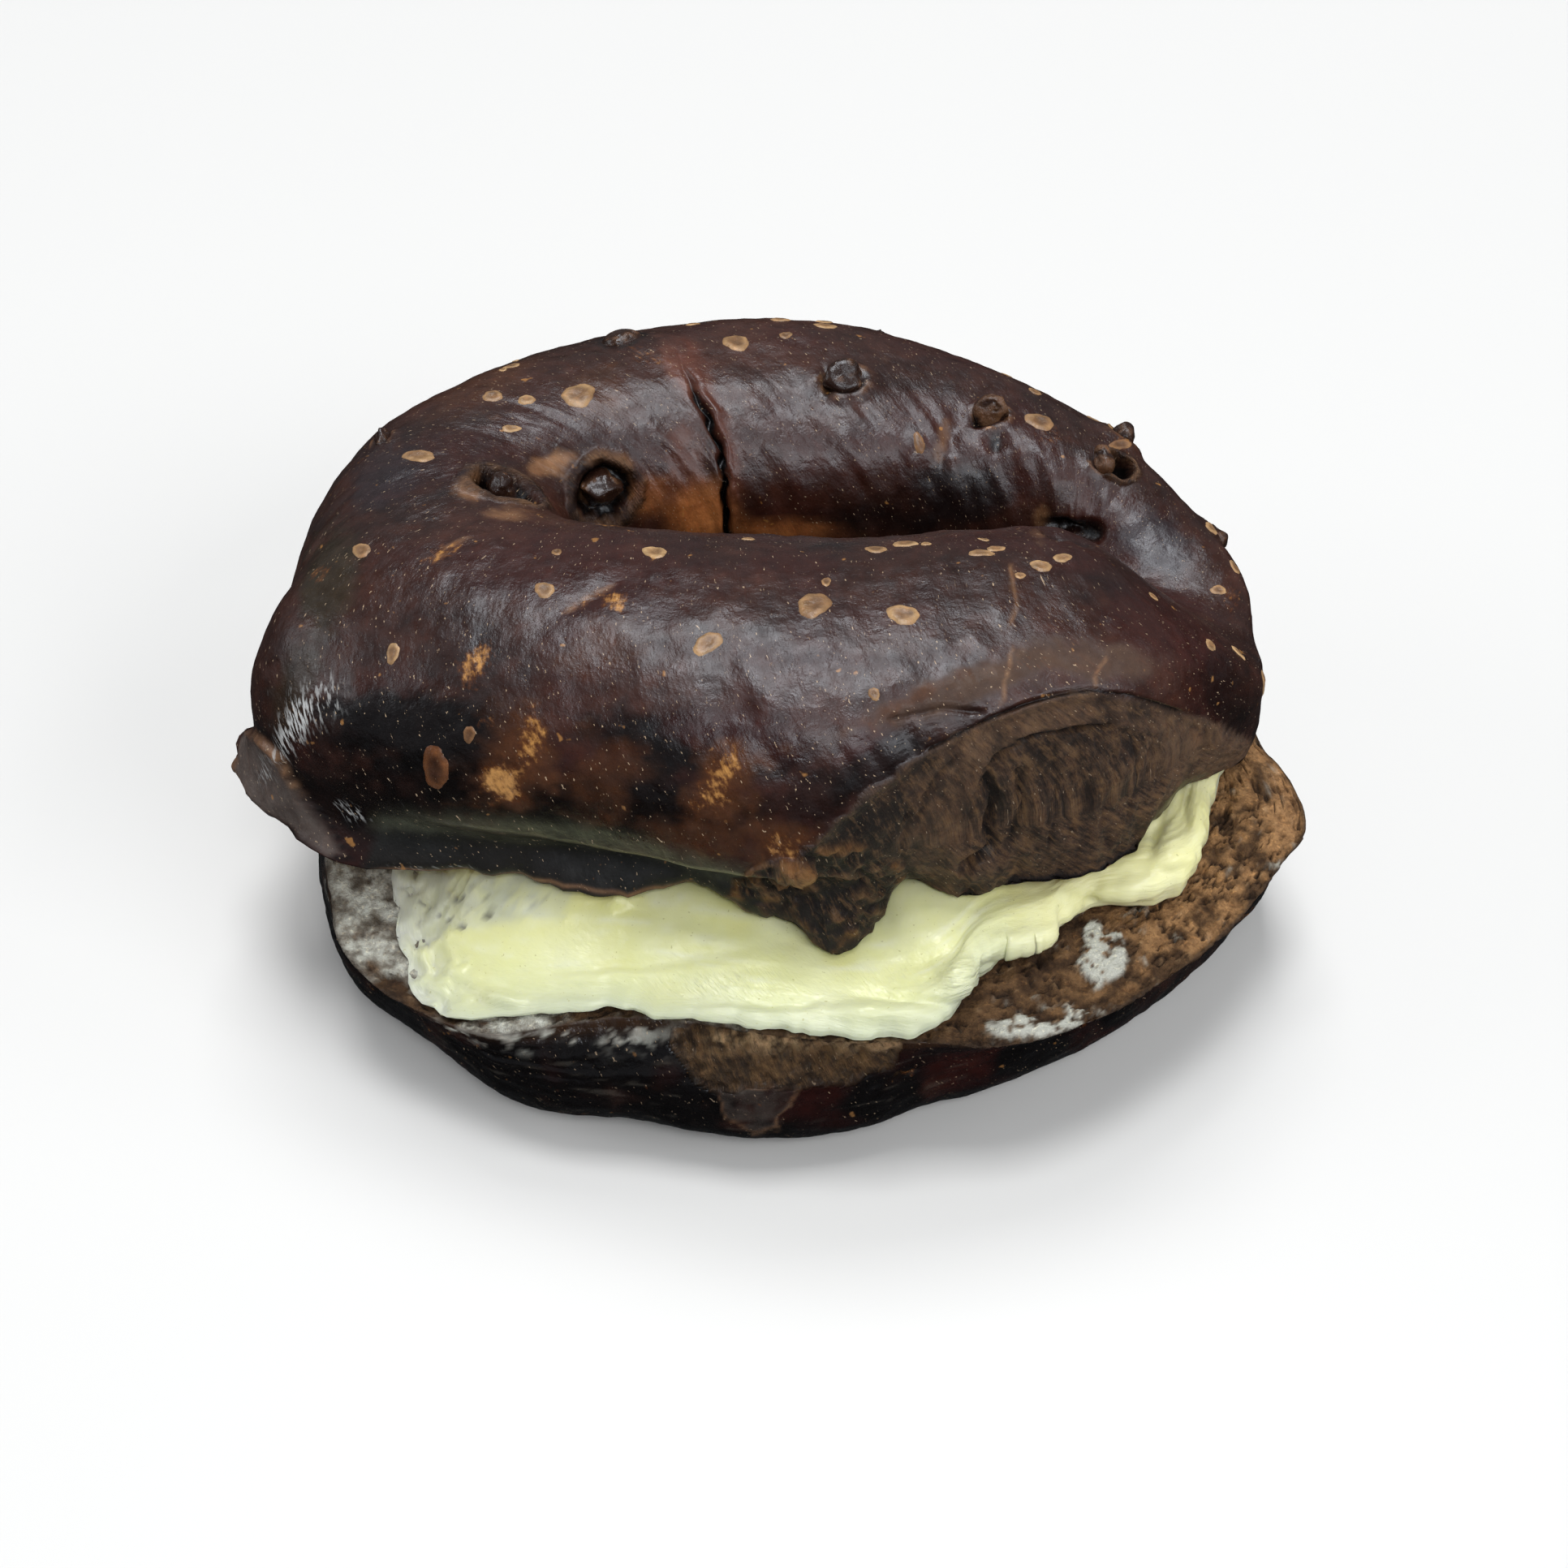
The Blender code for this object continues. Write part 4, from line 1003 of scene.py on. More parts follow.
def colour_top(top, seen, on_crust, tears, lumps, crumple, below):
    p = top.points
    x, y, facing = seen
    torn, flap, knob, corner, flap_edge = tears
    tone = noise(p, 16.0, 3, 2.0)
    fine = noise(p, 2.4, 4, 4.0)
    top.tint[:] = CRUST_BROWN
    top.rough[:] = 0.35
    top.paint(CRUST_DARK, 0.45 + 0.5 * tone + 0.3 * fine)
    top.paint(ZONE_COLOURS["maroon"], ramp(noise(p, 12.0, 2, 7.0), 0.0, 0.6) * 0.5)
    blush = ramp(noise(p, 9.0, 3, 11.0) + 0.5 * fine, 0.45, 1.1)
    top.lay("fleck", blush * (0.25 + 0.45 * (1 - facing)))

    def patch(place, grain):
        """How near each point is to the middle of a patch, and its share of the patch's colour."""
        near = blot(x, y, place)
        return near, ramp(near + grain * 0.42 * fine, 0.25, 0.60 + 0.35 * grain) * (near > 0.04)

    for *place, strength in AMBERS:
        near, share = patch(place, AMBER_GRAIN)
        top.lay("fleck", (0.35 * near + 0.65 * share) * strength * facing)
    # The zones lay the crust's own colours, with painted light among them: shade in the shadow and black
    # zones, sheen in the slate zones and warm light in the glow zones.
    for colour, *place, strength, grain in ZONES:
        near, share = patch(place, grain)
        if colour == "painted_glow":
            share = ramp(near + 0.12 * fine, 0.05, 1.0) * (top.around < 180)
        top.paint(ZONE_COLOURS[colour], share * strength * facing)
        if colour == "band":
            top.roughen(0.75, share * facing)
    # Painted streaks of whitish highlight at the left end.
    for place in HIGHLIGHT_STREAKS:
        top.lay("bloom", ramp(blot(x, y, place) + 0.3 * fine, 0.2, 0.9) * place[5] * facing)
    for line in TAN_LINES:
        away = line_distance(x + fine * 3, y, line)
        top.paint(CRUST_TAN, facing * fall(away, 2.2) * 0.6)
    front = facing * (top.around > 180) * (top.around < 290)
    # Painted shade on the underside of the roll.
    under = (1 - ramp(top.across, -16, 4)) * (top.around > 222) * (top.around < 285)
    top.paint(UNDERSIDE_SHADE, under * 0.9)
    top.roughen(0.62, under)
    # Painted reflection of the spread on the underside of the roll.
    away = line_distance(x, y + 4 * fine, SPREAD_REFLECTION)
    top.paint(SPREAD_REFLECTION_GREY, front * fall(away, 11) * 0.5)
    skin = ramp(corner, -3, 8) * front
    top.paint(CORNER_GREY, skin * 0.8)
    top.roughen(0.48, skin)
    # Painted shade just outside the edge of the raised corner skin.
    top.paint(CRUST_DARK * 0.5, front * fall(corner + 5, 4) * 0.8)
    top.paint(CRUST_TAN, front * fall(corner - 1, 2.2) * ramp(985 - y, 0, 30) * 0.7)
    away = line_distance(x, y, LIP_EDGE)
    top.paint(CRUST_TAN, front * fall(away, 2.6) * 0.6)
    top.paint(TORN_BROWN, torn)
    # Darker in the low lumps and paler on the high ones, with some random tone: painted shade in the
    # hollows and painted highlight on the crests.
    top.paint(TORN_DARK_AND_SHADE, torn * ramp(0.4 * noise(p, 5.0, 3, 21.0) - 1.6 * lumps, 0.1, 0.9) * 0.7)
    top.paint(TORN_CREST_HIGHLIGHT, torn * ramp(0.4 * noise(p, 1.4, 3, 23.0) + 2.2 * lumps, 0.35, 1.0) * 0.4)
    top.paint(FLAP_BROWN, torn * ramp(noise(p, 7.0, 3, 24.0), 0.0, 0.7) * 0.5)
    # Painted shade along the second fold and in the area under it; the face is also darker toward the
    # left.
    top.paint(TORN_DARK_AND_SHADE, torn * fall(below, 4) * 0.3)
    top.paint(TORN_DARK_AND_SHADE, torn * ramp(1215 - x + 60 * fine, 0, 150) * 0.92)
    top.paint(TORN_DARK_AND_SHADE, torn * ramp(below, 0, 12) * (1 - ramp(x, 1370, 1440)) * 0.25)
    top.paint(FLAP_BROWN, flap * 0.6)
    # Painted shade in the hollows of the flap's crumples and painted highlight on their crests.
    top.paint(TORN_DARK_AND_SHADE, flap * ramp(-crumple, -0.22, 0.05) * 0.9)
    top.paint(TORN_CREST_HIGHLIGHT, flap * ramp(crumple + 0.15 * fine, 0.10, 0.35) * 0.65)
    # Gold on the crests of the crumples at the flap's edge and on the knob: partly the crust's own golden
    # tone, partly painted highlight.
    top.paint(KNOB_GOLD_AND_HIGHLIGHT, flap_edge * ramp(crumple + 0.4 * fine, -0.1, 0.3) * 0.8)
    top.paint(KNOB_GOLD_AND_HIGHLIGHT, knob * ramp(crumple + 0.3 * fine, -0.2, 0.2) * 0.8)
    # Painted shade along the folds.
    for line, _, _, dark in FOLDS:
        top.paint(CRUST_DARK * 0.4, facing * fall(line_distance(x, y, line), dark) * 0.9)
    # Painted shade in the finer creases.
    for line in FACE_LINES:
        away = line_distance(x + 4 * fine, y, line)
        top.paint(TORN_DARK_AND_SHADE, torn * fall(away, FACE_CREASE[2]) * 0.6)
    # Painted highlight along the crests.
    for line in FACE_CRESTS:
        away = line_distance(x + 6 * fine, y, line)
        top.paint(TORN_CREST_HIGHLIGHT, torn * fall(away, 6) * ramp(fine, -0.4, 0.5) * 0.5)
    top.roughen(0.85, torn)
    top.roughen(0.60, flap)
    top.lay("crag", torn * (0.62 + 0.38 * ramp(below, -4, 6)))
    top.lay("crag", flap * 0.85)
    top.bloom *= 1 - torn
    top.fleck *= 1 - torn * 0.8
    # Painted shade in the gaps beside the chips.
    for place in CHIP_HOLES:
        top.paint(CRUST_DARK * 0.3, facing * blot(x, y, place[:4], 4.0))
    inside = (~on_crust) | (top.across > 216)
    top.paint(CRUMB_BROWN, inside * 1.0)
    top.paint(CRUMB_DARK, inside * ramp(noise(p, 2.6, 3, 46.0), -0.1, 0.6) * 0.7)
    top.roughen(0.85, inside * 1.0)


def sink_pits(top):
    """Pits round sunken chips, with torn tan rims and painted shade in them, and the crack in the back of
    the ring, with painted shade in it.
    """
    rim_at, rim_wide, rim_high = PIT_RIM
    for around, across, long, wide, deep in PITS:
        here, out, along, over = top.local(around, across)
        away = top.points - here
        near = np.linalg.norm(away, axis=-1) < PIT_REACH
        wander = 0.14 * noise(top.points, 2.4, 3, around)
        r = np.hypot((away @ along) / long, (away @ over) / wide) / PIT_WIDER + wander
        hole = (1 - ramp(r, 0.62, 1.02)) * near
        rim = fall(r - rim_at, rim_wide) * near
        top.points += out * (rim_high * rim - deep * hole)[..., None]
        top.paint(ZONE_COLOURS["tan"], rim * ramp(noise(top.points, 3.0, 3, 17.0), -0.3, 0.4) * 0.9)
        # Painted shade in the pit.
        top.paint(CRUST_DARK * 0.3, ramp(hole, 0.1, 0.5))
        top.lay("crag", rim * 0.6)
        top.roughen(0.6, rim)
    for around, across, radius, stand in CHIPS:
        here, out, along, over = top.local(around, across)
        r = np.linalg.norm(top.points - here, axis=-1) / radius
        r = r + 0.16 * noise(top.points, 1.6, 2, across)
        shown = stand > BARELY_SUNK
        collar = fall(r - 1.15, 0.38) * shown
        top.points += out * (0.24 * radius * collar)[..., None]
        skin = fall(r - 1.16, 0.13) * ramp(noise(top.points, 2.2, 2, 71.0), -0.3, 0.4)
        top.paint(ZONE_COLOURS["tan"], skin * shown * 0.55)
        # Painted shade in the gap round the chip's base.
        top.paint(CRUST_DARK * 0.4, fall(r - 0.95, 0.14) * 0.85)
    up = top.across - 90
    line = CRACK_AT + 0.7 * np.sin(up * 0.10) + 0.25 * np.sin(up * 0.37)
    off = (top.around - line) * CRACK_SCALE + 0.06 * noise(top.points, 1.2, 2, 50.0)
    length = ramp(top.across, 84, 125) * (1 - ramp(top.across, 186, 200))
    cut = fall(off, 0.14 + 0.20 * length) * length
    lip = fall(off + 0.75, 0.4) * length
    top.rise(CRACK_LIP * lip - CRACK_DEPTH * cut)
    skin = fall(off + 0.9, 0.9) * ramp(top.across, 66, 88)
    top.paint(CRACK_RED, skin * (1 - ramp(top.across, 150, 178)) * 0.75)
    # Painted shade in the crack.
    top.paint(CRUST_DARK * 0.25, ramp(cut, 0.25, 0.6))


# ---- The bottom half ---------------------------------------------------------------------------
def make_bottom():
    bottom = Surface(bottom_shape, BOTTOM_AROUND, BOTTOM_ACROSS)
    p = bottom.points
    on_face = ramp(bottom.across, RIM - 1, RIM + 2) * (1 - ramp(bottom.across, 180 - RIM, 182 - RIM))
    side = (1 - on_face) * ramp(p[..., 2], 0.05, 1.5)
    x, y, facing = bottom.seen()
    wobble = 7 * noise(p, 3.2, 3, 40.0)
    fine = noise(p, 2.0, 4, 44.0)
    patch = ramp(depth_inside(x + wobble, y + wobble, PATCH), -2, 3) * facing * (1 - on_face)
    pores = ridges(p, 2.4, 3, 40.0)
    grain = noise(p, 1.3, 3, 41.0)
    smeared = smear_on(x, y, fine, on_face)
    relief = 0.28 * noise(p, 3.2, 3, 41.5) + 0.22 * grain - 0.7 * ramp(pores, 0.88, 1.0)
    height = on_face * (relief * (1 - 0.75 * ramp(smeared, 0.3, 0.8)) + 0.3 * smeared)
    height += side * (0.25 * noise(p, 8.0, 3, 42.0) + 0.08 * noise(p, 2.0, 3, 43.0))
    crinkles = ridges(bottom.ring() / (9.0, 9.0, 1.6), 1.0, 2, 57.0) - 0.6
    height += side * 0.30 * crinkles * ramp(p[..., 2], 4.0, 9.0)
    height -= patch * (0.75 - 0.40 * grain - 0.7 * (pores - 0.6))
    bottom.rise(height)
    p = bottom.points
    p[..., 2] = np.where(bottom.across < -60, p[..., 2] * ramp(p[..., 2], -0.01, 0.3), p[..., 2])
    p[..., 2] = np.maximum(p[..., 2], 0.0)
    bottom.tint[:] = BOTTOM_CRUST
    bottom.rough[:] = 0.24
    bottom.paint(CRUST_BROWN, side * ramp(noise(p, 6.0, 3, 45.0), 0.2, 1.0) * 0.45)
    bottom.paint(ZONE_COLOURS["maroon"], side * ramp(noise(p, 9.0, 2, 47.0), 0.0, 0.7) * 0.6)
    bottom.lay("fleck", side * ramp(noise(p, 7.0, 3, 55.0) + 0.4 * fine, 0.55, 1.1) * 0.6)
    bottom.paint(CRUMB_BROWN, on_face)
    # Darker at random, and where the relief is low: painted shade in the hollows.
    bottom.paint(CRUMB_DARK, on_face * ramp(noise(p, 2.8, 3, 46.0) - 0.5 * relief, -0.2, 0.5) * 0.85)
    bottom.paint(CRUMB_DARK, on_face * ramp(1480 - x, 0, 220) * 0.75)
    bottom.paint(CRUMB_PALE, on_face * ramp(grain + 0.5 * noise(p, 0.8, 2, 49.0), 0.55, 1.0) * 0.45)
    # Painted shade in the pores.
    bottom.paint(CRUMB_DARK * 0.5, on_face * ramp(pores, 0.9, 1.0) * 0.9)
    bottom.roughen(0.85, on_face)
    rim = fall(bottom.across - RIM + 1, 3.5)
    bottom.paint(CRUMB_DARK * 0.7, rim * 0.8)
    gaps = ramp(x, 1180, 1260) * (1 - ramp(noise(p, 1.5, 3, 58.0), -0.55, -0.15))
    bottom.paint(SMEAR_GREY, smeared * 0.85 * (1 - gaps))
    white = ramp(noise(p, 1.8, 3, 48.0) + 0.5 * smeared, -0.1, 0.6)
    bottom.paint(SMEAR_WHITE, smeared * np.maximum(white, ramp(x, 1180, 1260)) * 0.95 * (1 - gaps))
    bottom.roughen(0.5, smeared)
    bottom.lay("bloom", smeared * ramp(x, 1100, 1200) * (1 - gaps))
    bottom.paint(PATCH_BROWN * 0.45, patch)
    bottom.paint(PATCH_BROWN, patch * ramp(noise(p, 2.0, 3, 52.0) + 0.4 * grain, -0.3, 0.5) * 0.85)
    # Painted highlight along the upper edge of the patch.
    lit_shelf = patch * fall(y - 1282 - 6 * fine, 15) * ramp(x, 858, 890)
    bottom.paint(PATCH_HIGHLIGHT, lit_shelf * ramp(grain, -0.6, 0.2))
    bottom.roughen(0.8, patch)
    skin = depth_inside(x + wobble, y + wobble, PATCH_SKIN)
    hanging = ramp(skin, -2, 4) * facing * (1 - patch)
    bottom.paint(CORNER_GREY * 0.4, hanging * ramp(fine, -0.8, 0.3) * 0.8)
    bottom.paint(CRUST_TAN, hanging * fall(skin - 1, 2.0) * 0.5)
    bottom.lay("crag", patch * 0.75)
    bottom.fleck *= 1 - patch
    scratch = ramp(noise(bottom.ring() / (3.0, 3.0, 0.7), 1.0, 3, 53.0), 0.5, 0.9)
    bottom.paint(SMEAR_GREY, side * (1 - patch) * scratch * 0.12)
    edge = fall(bottom.across - RIM + 5, 4.5) * ramp(fine + 0.5 * grain, 0.0, 0.6)
    bottom.paint(SMEAR_WHITE, edge * facing * ramp(900 - x, 0, 200) * 0.7)
    return bottom, (bottom.across[0] >= RIM - 0.1) & (bottom.across[0] < 180 - RIM)


def smear_on(x, y, fine, on_face):
    """How thickly the knife has smeared spread over each point of the crumb."""
    broken = 0.55 * fine
    left = (1 - ramp(x, 640, 760)) * (1 - 0.9 * ramp(depth_inside(x, y, LEFT_CRUMB), -12, 10))
    made = ramp(left * 1.1 + broken, 0.25, 0.9)
    for place in RIGHT_SMEARS:
        made = np.maximum(made, ramp(1.1 * blot(x, y, place, 3.0) + broken, 0.42, 0.85))
    front = fall(y - 1262, 14) * ramp(x, 560, 640) * (1 - ramp(x, 900, 960))
    return np.maximum(made, ramp(front + broken, 0.4, 1.0) * 0.8) * on_face


# ---- The spread --------------------------------------------------------------------------------
def make_spread():
    spread = Surface(spread_shape, SPREAD_AROUND, SPREAD_ACROSS)
    p = spread.points
    out = np.exp(1j * np.radians(spread.around))
    outer = 1 - ramp(np.minimum(spread.across, 360 - spread.across), 0, 75)
    seat = solid_point(out * SPREAD_SEAT, 0.0)
    ragged = 0.55 * noise(seat, 7.0, 2, 64.0) + 0.55 * noise(seat, 3.4, 3, 65.0)
    p[..., 0] += out.real * ragged * outer
    p[..., 1] += out.imag * ragged * outer
    x, y, facing = spread.seen()
    upper = (spread.across > 1) & (spread.across < 179)
    fine = noise(p, 2.0, 3, 61.0)
    film = ramp(depth_inside(x + 9 * fine, y + 9 * fine, FILM), -6, 10) * facing * upper
    strokes = noise(spread.ring() / (7.0, 7.0, 1.1), 1.0, 3, 66.0) * ramp(spread.across, 30, 70)
    shell = ridges(p * (1, 1, 0.3), 5.0, 2, 67.0) - 0.6
    height = 0.20 * noise(p, 6.0, 2, 60.0) + 0.10 * strokes + 0.30 * shell * outer
    height -= 0.25 * film * ramp(fine, -0.2, 0.6)
    room = np.where(spread.across < 90, 0.45, 0.20)
    height = np.minimum(height, room)
    pits = 0.0
    for px, py in FILM_PITS:
        near = blot(x + 14 * fine, y + 8 * fine, (px, py, 10, 6)) * film
        pits = np.maximum(pits, near * ramp(noise(p, 1.2, 2, 63.0), -0.5, 0.3))
    height -= 0.35 * ramp(pits, 0.3, 0.8)
    thin = (1 - ramp(x + 40 * fine, 440, 580)) * (spread.around > 190) * (spread.around < 260)
    for place in LOBES:
        height += facing * place[5] * blot(x + 5 * fine, y + 3 * fine, place, 2.5)
    spread.rise(np.where(upper, height, 0.0))
    p = spread.points
    crumb_level = face_height((p[..., 0] - FROM_ORIGIN[0]) + 1j * (p[..., 1] - FROM_ORIGIN[1]))
    p[..., 2] = mix(p[..., 2], np.minimum(p[..., 2], crumb_level + 0.12 + 0.5 * fine), thin)
    spread.tint[:] = BUTTER
    spread.rough[:] = 0.30
    # Deeper yellow at random, with painted shade in the shell's hollows, then painted shade toward the
    # back, under the top half.
    spread.paint(DEEP_BUTTER_AND_SHADE, ramp(noise(p, 9.0, 3, 62.0) - 0.8 * shell, 0.1, 0.9) * 0.30)
    spread.paint(DEEP_BUTTER_AND_SHADE, ramp(1170 - y + 0.12 * (900 - x), 0, 90) * facing * 0.35)
    spread.paint(BUTTER_PALE, ramp(strokes + 0.3 * fine, 0.1, 0.8) * 0.45)
    right = ramp(x, 1180, 1330) * facing
    spread.paint(BUTTER_CREAM, right * 0.7)
    spread.paint(BUTTER_WHITE, outer * (1 - right) * 0.8)
    spread.paint(FILM_GREY, film * (0.45 + 0.4 * ramp(fine, -0.3, 0.5)))
    spread.paint(FILM_DARK, ramp(pits, 0.2, 0.8) * 0.85)
    spread.paint(SMEAR_WHITE, thin * 0.8)
    spread.paint(SMEAR_GREY, ramp(thin, 0.75, 1.0) * ramp(noise(p, 1.6, 3, 48.0), -0.3, 0.4) * 0.8)
    for place in RIBS:
        spread.lay("crag", blot(x, y, place) * place[5] * facing)
    return spread


# ---- Chips and blisters ------------------------------------------------------------------------
def ball():
    """Unit directions and faces of a ball."""
    up = np.linspace(-90, 90, BALL_UP)
    around = np.arange(BALL_AROUND) * 360 / BALL_AROUND
    u, a = np.meshgrid(np.radians(up), np.radians(around), indexing="ij")
    points = np.stack((np.cos(u) * np.cos(a), np.cos(u) * np.sin(a), np.sin(u)), axis=-1)
    index = np.arange(BALL_UP * BALL_AROUND).reshape(BALL_UP, BALL_AROUND)
    ahead = np.roll(index, -1, axis=1)
    faces = np.stack((index[:-1], ahead[:-1], ahead[1:], index[1:]), axis=-1).reshape(-1, 4)
    return points.reshape(-1, 3), faces


def add_chips(top, finish):
    """Lumps of chocolate sunk in the crust."""
    round_points, round_faces = ball()
    points, faces = [], []
    for number, (around, across, radius, stand) in enumerate(CHIPS):
        here, out, along, over = top.local(around, across)
        sides = np.stack((along * radius, over * radius * CHIP_WIDTH, out * radius))
        cuts = SLOPES[CHIP_SIDES * number : CHIP_SIDES * (number + 1)]
        lumpy = (CHIP_FACET / np.clip(round_points @ cuts.T, CHIP_KEPT, 1.0)).min(axis=1)
        lumpy = lumpy + 0.10 * noise(round_points, 0.7, 2, 7.3 * number)
        if number in COVERED_CHIPS:
            lumpy = 0.8 + 0.1 * lumpy
            sides = sides * ((1.0,), (1.0,), (0.6,))
        faces.append(round_faces + len(round_points) * number)
        points.append(here + out * stand + (round_points * lumpy[:, None]) @ sides)
    points = np.concatenate(points)
    tan = np.repeat([number in TAN_CHIPS for number in range(len(CHIPS))], len(round_points))
    brown = ramp(noise(points, 1.4, 3, 70.0) + 0.7 * tan, 0.1, 0.9)
    tint = mix(CHIP_DARK, CHIP_BROWN, brown[:, None] * 0.8)
    numbers = {"rough": np.full(len(points), CHIP_ROUGHNESS), "crag": 0.15 * brown}
    add_mesh("chips", points, np.concatenate(faces), [finish], tint, points, numbers)


def add_blister(tree, spot, out, length, width, turn, tone, seed):
    """A thin dome of skin draped on the crust, with a pale rim round a darker hollow."""
    out = np.array(out)
    level = CAMERA_RIGHT - out * (CAMERA_RIGHT @ out)
    level /= np.linalg.norm(level)
    upward = np.cross(out, level)
    c, s = math.cos(math.radians(turn)), math.sin(math.radians(turn))
    long_way, wide_way = level * c + upward * s, upward * c - level * s
    share = np.linspace(0, 1, BLISTER_RINGS)
    spokes = np.arange(BLISTER_SPOKES) * math.tau / BLISTER_SPOKES
    points, tints = [], []
    least, more = BLISTER_THICK
    thickness = least + more * min(length, width)
    deep, hollow = BLISTER_HOLLOW
    for r in share:
        for a in spokes:
            waves = (high * math.sin(times * a + turns * seed) for high, times, turns in BLISTER_WAVES)
            wander = sum(waves, 1)
            flat = long_way * length * r * wander * math.cos(a)
            flat = flat + wide_way * width * r * wander * math.sin(a)
            above = Vector(np.array(spot) + flat + out * BLISTER_DROP)
            hit = tree.ray_cast(above, Vector(-out), BLISTER_FALL)[0]
            ground = np.array(hit) if hit else np.array(spot) + flat
            dome = (1 - r**4) * thickness - BLISTER_SUNK - deep * thickness * fall(r, hollow)
            points.append(ground + out * dome)
            tints.append(r)
    points = np.array(points)
    r = np.array(tints)
    index = np.arange(len(points)).reshape(BLISTER_RINGS, BLISTER_SPOKES)
    ahead = np.roll(index, -1, axis=1)
    faces = np.stack((index[:-1], index[1:], ahead[1:], ahead[:-1]), axis=-1).reshape(-1, 4)
    body = mix(*BLISTER_BODY, tone)
    pale = mix(*BLISTER_RIM, tone)
    shade = 1 + 0.35 * noise(points, 0.8, 2, seed * 3.1)
    colour = mix(body[None], pale[None], ramp(r, 0.35, 0.7)[:, None]) * shade[:, None]
    colour = mix(colour, CRUST_BROWN[None], ramp(r, 0.88, 1.0)[:, None] * 0.8)
    return points, faces, np.clip(colour, 0, 1)


def add_blisters(top, tree, finish):
    made = []
    for x, y, length, width, turn, tone in BLISTERS:
        spot, out = pick(tree, x, y)
        if spot is None:
            print("blister off the crust", x, y)
            continue
        scale = (spot - Vector(CAMERA_PLACE)).length / FOCAL
        facing = max(0.35, abs(out.dot(Vector(-CAMERA_FORWARD))))
        wide = min(width / facing, 1.6 * width) * scale
        made.append(add_blister(tree, spot, out, length * scale, wide, turn, tone, x * 0.37))
    for _ in range(FAR_BLISTERS):
        around, across = DRAW.uniform(*FAR_AROUND), DRAW.uniform(*FAR_ACROSS)
        here, out, _, _ = top.local(around, across)
        size = DRAW.uniform(*FAR_SIZES)
        turn, tone = DRAW.uniform(0, 180), DRAW.uniform(0, 0.5)
        made.append(add_blister(tree, here, out, size * 1.2, size, turn, tone, around))
    points, faces, tint = (np.concatenate(part) for part in zip(*made))
    # Each blister's faces count its own points from 0.
    starts = np.repeat(np.arange(len(made)) * len(made[0][0]), len(made[0][1]))
    numbers = {"rough": np.full(len(points), BLISTER_ROUGHNESS)}
    faces = faces + starts[:, None]
    add_mesh("blisters", points, faces, [finish], tint, points, numbers)


# ---- Room --------------------------------------------------------------------------------------
def show(made):
    bpy.context.scene.collection.objects.link(made)
    return made


def add_camera():
    data = bpy.data.cameras.new("camera")
    data.sensor_width = SENSOR
    data.lens = SENSOR * FOCAL / FRAME_SIDE
    data.clip_start = 0.01
    camera = show(bpy.data.objects.new("camera", data))
    camera.location = CAMERA_PLACE * MM
    camera.rotation_euler = (math.pi / 2 - LOOK_DOWN, 0, 0)
    bpy.context.scene.camera = camera


def add_light(name, azimuth, height, size, power):
    data = bpy.data.lights.new(name, "AREA")
    data.shape = "RECTANGLE"
    data.size, data.size_y = size
    data.energy = power
    light = show(bpy.data.objects.new(name, data))
    turn, rise = math.radians(azimuth), math.radians(height)
    level = math.cos(rise)
    toward = Vector((level * math.cos(turn), level * math.sin(turn), math.sin(rise)))
    light.location = toward * LIGHT_AWAY
    light.rotation_euler = toward.to_track_quat("Z", "Y").to_euler()


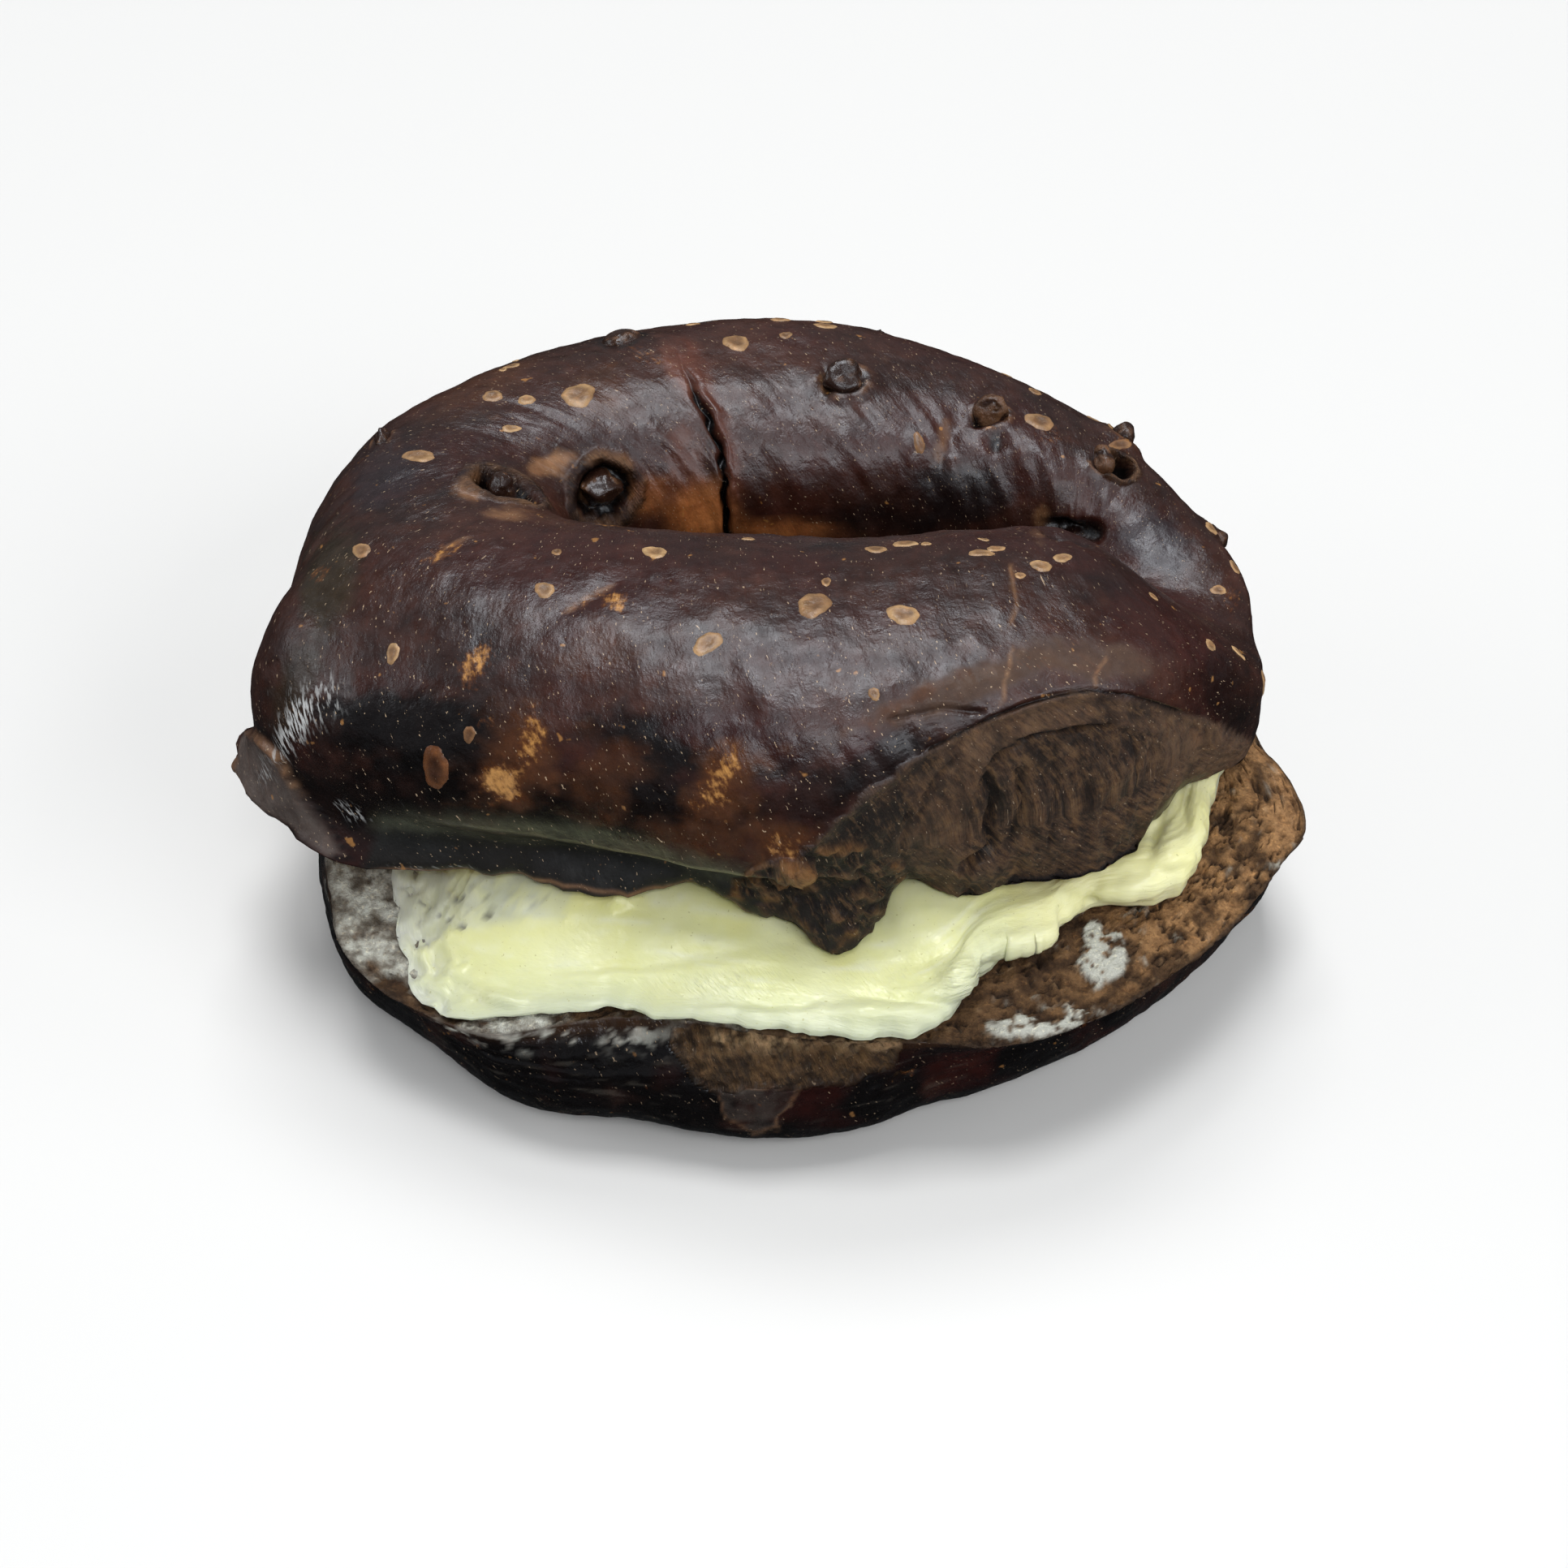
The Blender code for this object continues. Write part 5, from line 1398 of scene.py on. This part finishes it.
def make_sky():
    """Dim round the horizon and brighter overhead, but pale where the camera sees it."""
    world = bpy.data.worlds.new("studio")
    world.use_nodes = True
    nodes, links = world.node_tree.nodes, world.node_tree.links
    light = nodes["Background"]
    light.inputs["Color"].default_value = SKY_TINT
    split = nodes.new("ShaderNodeSeparateXYZ")
    links.new(nodes.new("ShaderNodeTexCoord").outputs["Generated"], split.inputs[0])
    rising = nodes.new("ShaderNodeMapRange")
    rising.inputs["From Min"].default_value = -1.0
    links.new(split.outputs["Z"], rising.inputs[0])
    strengths = nodes.new("ShaderNodeValToRGB")
    links.new(rising.outputs[0], strengths.inputs[0])
    stops = strengths.color_ramp.elements
    for sine, _ in SKY[1:-1]:
        stops.new(0.5 + sine / 2)
    for stop, (_, strength) in zip(stops, SKY):
        stop.color = (strength, strength, strength, 1)
    links.new(strengths.outputs[0], light.inputs["Strength"])
    backdrop = nodes.new("ShaderNodeBackground")
    backdrop.inputs["Color"].default_value = (BACKDROP, BACKDROP, BACKDROP, 1)
    choice = nodes.new("ShaderNodeMixShader")
    links.new(nodes.new("ShaderNodeLightPath").outputs["Is Camera Ray"], choice.inputs[0])
    links.new(light.outputs[0], choice.inputs[1])
    links.new(backdrop.outputs[0], choice.inputs[2])
    links.new(choice.outputs[0], nodes["World Output"].inputs["Surface"])
    return world


def add_room():
    bpy.context.scene.view_settings.view_transform = "Standard"
    bpy.context.scene.world = make_sky()
    for lamp in LIGHTS:
        add_light(*lamp)
    floor = Finish("floor")
    floor.give(Base_Color=floor.blend(floor.noise(3.0, 2.0), *FLOOR_TONES), Roughness=FLOOR_ROUGHNESS)
    mesh = bpy.data.meshes.new("floor")
    ends = ((-1, -1), (1, -1), (1, 1), (-1, 1))
    mesh.from_pydata([(FLOOR_HALF * x, FLOOR_HALF * y, 0) for x, y in ends], [], [(0, 1, 2, 3)])
    mesh.materials.append(floor.material)
    ground = show(bpy.data.objects.new("floor", mesh))
    ground.visible_glossy = False  # the underside of the dark crust stays dark, as in the photo


# ---- Scene -------------------------------------------------------------------------------------
add_camera()
add_room()
crust = crust_finish("crust", 0.5)
bottom_crust = crust_finish("bottom_crust", 0.4, 0.6)
crumb = crumb_finish("crumb")
butter = spread_finish("butter")
skin = crust_finish("blister_skin", 0.5, 0.3)
chocolate = crust_finish("chip_chocolate", 0.5, 0.2)

top, top_crumb = make_top()
made = add_surface("top_crust", top, [crust, crumb], top_crumb)
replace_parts(made, "top_half")
bottom, bottom_crumb = make_bottom()
made = add_surface("bottom_crust", bottom, [bottom_crust, crumb], bottom_crumb)
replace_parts(made, "bottom_half")
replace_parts(add_surface("butter_spread", make_spread(), [butter]), "spread")
add_chips(top, chocolate)
add_blisters(top, top.tree(), skin)
